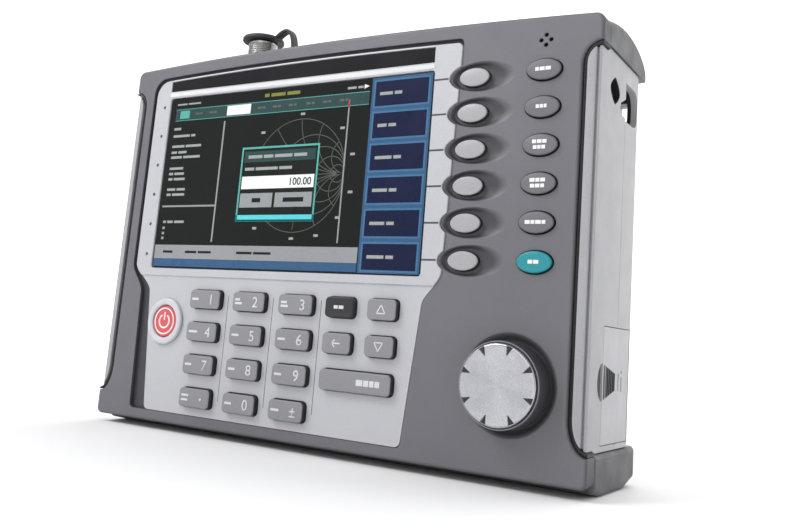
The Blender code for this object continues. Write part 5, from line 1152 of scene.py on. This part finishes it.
# Painted shade: the cup and the sleeve are near black so that each eyelet reads as in shadow.
for side, hand in ((-1, "left"), (1, "right")):
    ring = rectangle(14.1, 53.9, eye_z - 8.4, eye_z + 8.4, 6.7, 9)
    floor = cover_x - 9.4
    cup = side_prism(f"strap_liner_{hand}", ring, side * floor, side * (cover_x - cover_thick - 0.4))
    hollow = side_prism("hollow", grow(ring, -0.5), side * (floor + 0.5), side * (cover_x + overrun))
    exit_x = sorted((side * (floor - 1), side * (floor + 4.9)))
    outline = bar(*exit_x, eye_z - 4.5, eye_z + 4.5)
    carve(cup, [hollow, moulded("exit", outline, [(0, 50.0), (0, 60.0)])])
    wear(smooth(cup), eyelet_shade_dark, "case", "graphite_rubber")
    sleeve_x = side * (cover_x - cover_thick - 0.3), side * (cover_x - 0.15)
    sleeve = side_prism(f"eyelet_shade_sleeve_{hand}", grow(eye_front, -0.03), *sleeve_x)
    bore = side_prism("bore", grow(eye_front, -0.4), side * (floor + 1), side * (cover_x + overrun))
    wear(smooth(carve(sleeve, [bore])), eyelet_shade_dark, "case", "graphite_rubber")


# The top cap: a dark moulding over the top, crowned like the front case and falling to the rear in
# a quarter ellipse; towards its ends it arches up between front and rear. It is hollow below and
# clips onto the housing, with holes for the port and the two sockets.
cap_wall, cap_arch, arch_start, arch_run, arch_crest, case_depth = 3.0, 4.0, 80.0, 40.0, 34.0, 64.0
port_x, port_depth, port_collar, jack_x, jack_radius = -69.0, 27.0, 10.0, 25.0, 5.2
usb_x, usb_size, socket_depth = 48.0, (15.0, 8.0), 27.0


def cap_rings(wall):
    """Cross-sections along x: each is flat below, rises at the rear along a quarter ellipse to the
    crest, and falls to the front as a cosine of the arch's height."""
    end = half_width - wall
    turn = end - top_corner + top_corner * np.sin(np.linspace(0, np.pi / 2, 10))
    x = np.concatenate([-turn[::-1], np.linspace(top_corner - end, end - top_corner, 48)[1:-1], turn])
    into = np.maximum(0, np.abs(x) - (end - top_corner))
    drop = top_corner - np.sqrt(np.maximum(0, top_corner ** 2 - into ** 2))
    share = np.clip((np.abs(x) - arch_start) / arch_run, 0, 1)
    rise = cap_arch * share ** 2 * (3 - 2 * share)
    bottom = housing_top + clearance - (overrun if wall else 0)
    top = crown(x, case_top) - wall - drop
    height, back = top + rise - bottom, case_depth - wall - drop / 2
    front = front_depth + clearance + wall
    a, t = np.linspace(0, np.pi / 2, 24)[:, None], np.linspace(0, 1, 12)[1:, None]
    depth = [0 * x + front, back]
    depth += [*(arch_crest + (back - arch_crest) * np.cos(a)), *(arch_crest - (arch_crest - front) * t + 0 * x)]
    z = [0 * x + bottom, 0 * x + bottom]
    z += [*(bottom + height / 8 + height * 7 / 8 * np.sin(a)), *(top + rise * np.cos(np.pi / 2 * t))]
    return at(x[:, None], np.array(depth).T, np.array(z).T)


def top_cap():
    """The crowned shell with its inside and its holes cut away."""
    cap = skin("top_cap_moulding", cap_rings(0))
    low, high = housing_top, case_top + overrun
    cutters = [skin("hollow", cap_rings(cap_wall))]
    for x, radius in ((port_x, port_collar + clearance), (jack_x, jack_radius + clearance)):
        cutters.append(turned("hole", (x, socket_depth, 0), [(radius, low), (radius, high)], 48, "up"))
    half = np.array(usb_size) / 2 + clearance
    opening = rectangle(usb_x - half[0], usb_x + half[0], socket_depth - half[1], socket_depth + half[1], 1.0)
    cutters.append(skin("hole", np.stack([at(opening[:, 0], opening[:, 1], z) for z in (low, high)])))
    return smooth(carve(cap, cutters))


cap_plastic = plastic("cap_plastic", (0.066, 0.067, 0.072), (0.060, 0.061, 0.066), (0.42, 0.56))
wear(top_cap(), cap_plastic, "case", "dark_case", "top_cap")


# The bottom cap: the same dark moulding under the case, with the flat base that it stands on.
dressed("bottom_cap", "bottom_cap_moulding", cap_plastic, "case", "dark_case", 0.9, 25, 3)


# The battery door and the battery: a light door flush with the side, hung on two stubs at its rear
# edge, with five grip ribs in a dark pad that tapers away from the thumb notch, and two plain
# marks. The battery pack stands behind it, in shrink wrap.
door_plastic = plastic("door_plastic", (0.43, 0.43, 0.45), (0.41, 0.41, 0.43), (0.44, 0.58), 2400.0, 0.12)
dressed("battery_door", "battery_door_panel", door_plastic, "battery_door", "light_case", 0.12)
grip_ink = ink("grip_ink", (0.075, 0.075, 0.08), 0.55)
mark_ink = ink("mark_ink", (0.20, 0.20, 0.21), 0.5)


def side_print(name, shapes, material, body, slot, face=cover_x, proud=0.05, root=0.05):
    """Flat shapes of the right side view as thin closed plates on the side wall."""
    points, faces = [], []
    for shape in shapes:
        base, count = sum(len(block) for block in points), len(shape)
        ring = np.arange(count)
        walls = np.stack([ring, (ring + 1) % count, (ring + 1) % count + count, ring + count], axis=1) + base
        faces += [(ring + base).tolist(), (ring + base + count).tolist()] + walls.tolist()
        points.append(np.concatenate([at(x, shape[:, 0], shape[:, 1]) for x in (face - root, face + proud)]))
    return wear(mesh_piece(name, np.concatenate(points), faces), material, body, slot)


pad = [np.array([(19.6, 37.2), (21.3, 37.2), (21.3, 50.8), (19.6, 50.8)])]
pad.append(np.array([(22.3, 37.6), (34.6, 40.6), (34.6, 47.4), (22.3, 50.4)]))
side_print("door_grip_pad", pad, grip_ink, "battery_door", "graphite_rubber")
rib_places = [(d, 5.6 - 0.22 * (d - 24)) for d in (24.4, 26.7, 29.0, 31.3, 33.2)]
ribs = [bar(d, d + 0.5, thumb_z - half, thumb_z + half) for d, half in rib_places]
side_print("door_grip_ribs", ribs, seal, "battery_door", "graphite_rubber", cover_x, 0.3)
marks = [bar(38.6, 39.8, 40.4, 47.6), bar(42.6, 43.9, 40.0, 46.0), bar(42.6, 43.9, 47.4, 48.8)]
side_print("door_marks", marks, mark_ink, "battery_door", "graphite_rubber")
notch = ring_arc((door_box[0] - 0.3, thumb_z), (thumb_size[0] - 0.4, thumb_size[1] / 2 - 0.2), 90, 270, 17)
side_print("thumb_notch_pad", [notch], grip_ink, "case", "graphite_rubber", cover_x - thumb_depth, 0.9, 0.05)
wrap = plastic("battery_wrap", (0.030, 0.045, 0.10), (0.026, 0.040, 0.09), (0.25, 0.35), 1500.0, 0.05)
dressed("battery_pack", "battery_pack_body", wrap, "case", "battery_wrap", 1.0)


# The stand: a dark plate that folds into the well of the back and turns on a steel pin.
dressed("stand", "stand_plate", cap_plastic, "stand", "dark_case", 0.35)
bright_steel = metal("bright_steel", (0.62, 0.62, 0.63), (0, 0, 0), 700.0)
dressed("stand_pin", "stand_pin_rod", bright_steel, "case", "steel", 0)


# The test port: a nickel plated coaxial connector with a round collar, a barrel that carries a
# screw thread, a bore and a centre pin. The rubber dust cap plugs its mouth and hangs on a strap.
port_radius, port_top, collar_top, bore_radius, bore_depth, pin_radius = 8.0, 210.9, 198.5, 4.2, 9.0, 1.0
thread_low, thread_high, thread_pitch, thread_deep = 202.5, 210.0, 1.06, 0.3
lid_low, lid_thick, lid_radius, plug_radius, plug_deep = 211.2, 2.4, 11.5, 3.9, 6.0
strap_reach, strap_rise, strap_half_width, strap_half_thick = 23.0, 5.0, 2.5, 0.9


def test_port():
    """Rings up the outside and down the bore. On the barrel the radius loses the thread's depth
    times half of 1 + cos(2 pi (height / pitch - turn)), faded out at both ends of the thread."""
    foot, angle = housing_top + clearance, np.linspace(0, 2 * np.pi, 96, endpoint=False)
    tail = foot - clearance - 2.5
    climb = np.linspace(collar_top + 0.05, port_top - 0.5, 150)
    barrel = np.stack([0 * climb + port_radius, climb], axis=1)
    below = [(0, tail), (2.5, tail), (2.5, foot), (port_collar, foot)]
    below += [(port_collar, collar_top - 0.4), (port_collar - 0.4, collar_top), (port_radius, collar_top)]
    above = [(port_radius - 0.5, port_top), (bore_radius + 0.3, port_top)]
    above += [(bore_radius, port_top - 0.3), (bore_radius, port_top - bore_depth)]
    above += [(pin_radius, port_top - bore_depth), (pin_radius, port_top - 2.4)]
    above += [(pin_radius - 0.4, port_top - 2.0), (0, port_top - 2.0)]
    profile = np.array(below + barrel.tolist() + above)
    radius, height = profile[:, :1], profile[:, 1:]
    fade = np.clip((height - thread_low) / 1.0, 0, 1) * np.clip((thread_high - height) / 1.0, 0, 1)
    fade = fade * (np.abs(radius - port_radius) < 0.01)
    wave = (1 + np.cos(2 * np.pi * height / thread_pitch - angle)) / 2
    radius = radius - thread_deep * fade * wave
    return skin("test_port_barrel", at(port_x + radius * np.cos(angle), port_depth + radius * np.sin(angle), height + 0 * angle), False)


nickel = metal("nickel", (0.46, 0.455, 0.44), (port_x / 1000, 0.0005, 0.2), 12.0)
wear(smooth(test_port(), 50), nickel, "case", "steel", "test_port")
cap_rubber = plastic("dust_cap_rubber", (0.045, 0.045, 0.048), (0.038, 0.038, 0.041), (0.5, 0.62), 2000.0, 0.14, 0.4)
lid = [(0, lid_low + 1.0), (plug_radius - 1.2, lid_low + 1.0), (plug_radius - 1.2, lid_low - plug_deep)]
lid += [(plug_radius, lid_low - plug_deep), (plug_radius, lid_low), (lid_radius - 0.4, lid_low), (lid_radius, lid_low + 0.4)]
lid_top = lid_low + lid_thick
lid += [(lid_radius, lid_top - 0.9), (lid_radius - 0.3, lid_top - 0.3), (lid_radius - 1.0, lid_top), (0, lid_top)]
brim = turned("port_cap_lid", (port_x, port_depth, 0), lid, 96, "up")
wear(smooth(brim), cap_rubber, "port_cap", "graphite_rubber", "port_cap")


def strap():
    """A Bezier curve from the lid up and over to the crown of the case, with a cross-section at
    each point: width as |cos|^0.4 and thickness as |sin|^0.4, which is a rounded band."""
    start = np.array((port_x + lid_radius - 2.0, lid_low + lid_thick / 2))
    end = np.array((port_x + strap_reach, crown(port_x + strap_reach, case_top) + clearance))
    peak = start[1] + strap_rise * 4 / 3
    handles = [start, (start[0] + (end[0] - start[0]) * 0.55, peak), (end[0], peak), end]
    t = np.linspace(0, 1, 40)[:, None]
    weights = ((1 - t) ** 3, 3 * t * (1 - t) ** 2, 3 * t ** 2 * (1 - t), t ** 3)
    path = sum(weight * handle for weight, handle in zip(weights, handles))
    way = np.gradient(path, axis=0)
    across = np.stack([-way[:, 1], way[:, 0]], axis=1) / np.linalg.norm(way, axis=1, keepdims=True)
    a = np.linspace(0, 2 * np.pi, 28, endpoint=False)
    wide = strap_half_width * np.sign(np.cos(a)) * np.abs(np.cos(a)) ** 0.4
    thick = strap_half_thick * np.sign(np.sin(a)) * np.abs(np.sin(a)) ** 0.4
    spot = path[:, None] + across[:, None] * thick[None, :, None]
    return skin("port_cap_strap", at(spot[..., 0], port_depth + wide[None], spot[..., 1]))


wear(smooth(strap(), 60), cap_rubber, "port_cap", "graphite_rubber")


# The sockets in the top: a round supply jack of black plastic and a data socket of folded steel.
dressed("supply_jack", "supply_jack_shell", black_key, "case", "key_black", 0.25)
dressed("data_socket", "data_socket_shell", bright_steel, "case", "steel", 0.25)


# The screws of the back: four steel pan heads with a cross recess, sunk in the housing; they pass
# through the main board and hold the front case.
screw_x, screw_rows, screw_floor, screw_radius, screw_head = waist - 5.2, (74.0, 140.0), 59.0, 2.8, 1.8
for side in (-1, 1):
    for z in screw_rows:
        a = np.linspace(0, np.pi / 2, 8)
        dome = np.stack([screw_radius * np.cos(a), -0.6 - (screw_head - 0.6) * np.sin(a)], axis=1)
        profile = [(0, 0), (screw_radius, 0)] + dome.tolist()
        label = f"back_screw_{'right' if side > 0 else 'left'}_{'high' if z > 100 else 'low'}"
        head = turned(label, (side * screw_x, screw_floor + 0.02, z), profile, 48)
        x = side * screw_x
        arms = [bar(x - 1.7, x + 1.7, z - 0.32, z + 0.32), bar(x - 0.32, x + 0.32, z - 1.7, z + 1.7)]
        deep = [(-0.12, screw_floor + 0.7), (0, screw_floor + 3)]
        wear(smooth(carve(head, [moulded("slot", arm, deep) for arm in arms])), bright_steel, "case", "steel")


# The inside: the display's module, the rubber mats and boards of the keys, the main board, the
# shielded radio module, the beeper and the encoder with its shaft. They are finished from the
# solids of the frame.
mat_rubber = plastic("mat_rubber", (0.060, 0.060, 0.064), (0.052, 0.052, 0.056), (0.5, 0.62), 2400.0, 0.1, 0.35)
solder_mask = plastic("solder_mask", (0.020, 0.150, 0.065), (0.016, 0.125, 0.055), (0.25, 0.36), 1500.0, 0.04)
shield = metal("tinned_shield", (0.60, 0.61, 0.61), (0, 0, 0), 300.0)
dressed("display_module", "display_module_body", black_key, "case", "key_black", 0.3)
dressed("keypad_mat", "keypad_mat_sheet", mat_rubber, "case", "graphite_rubber", 0.2)
dressed("side_key_mat", "side_key_mat_sheet", mat_rubber, "case", "graphite_rubber", 0.2)
dressed("keypad_board", "keypad_board_panel", solder_mask, "case", "board_green", 0.1)
dressed("main_board", "main_board_panel", solder_mask, "case", "board_green", 0.1)
dressed("radio_module", "radio_module_shield", shield, "case", "steel", 0.4)
dressed("beeper", "beeper_can", black_key, "case", "key_black", 0.3)
dressed("encoder_body", "encoder_housing", shield, "case", "steel", 0.3)
dressed("encoder_shaft", "encoder_rod", bright_steel, "knob", "steel", 0.2)
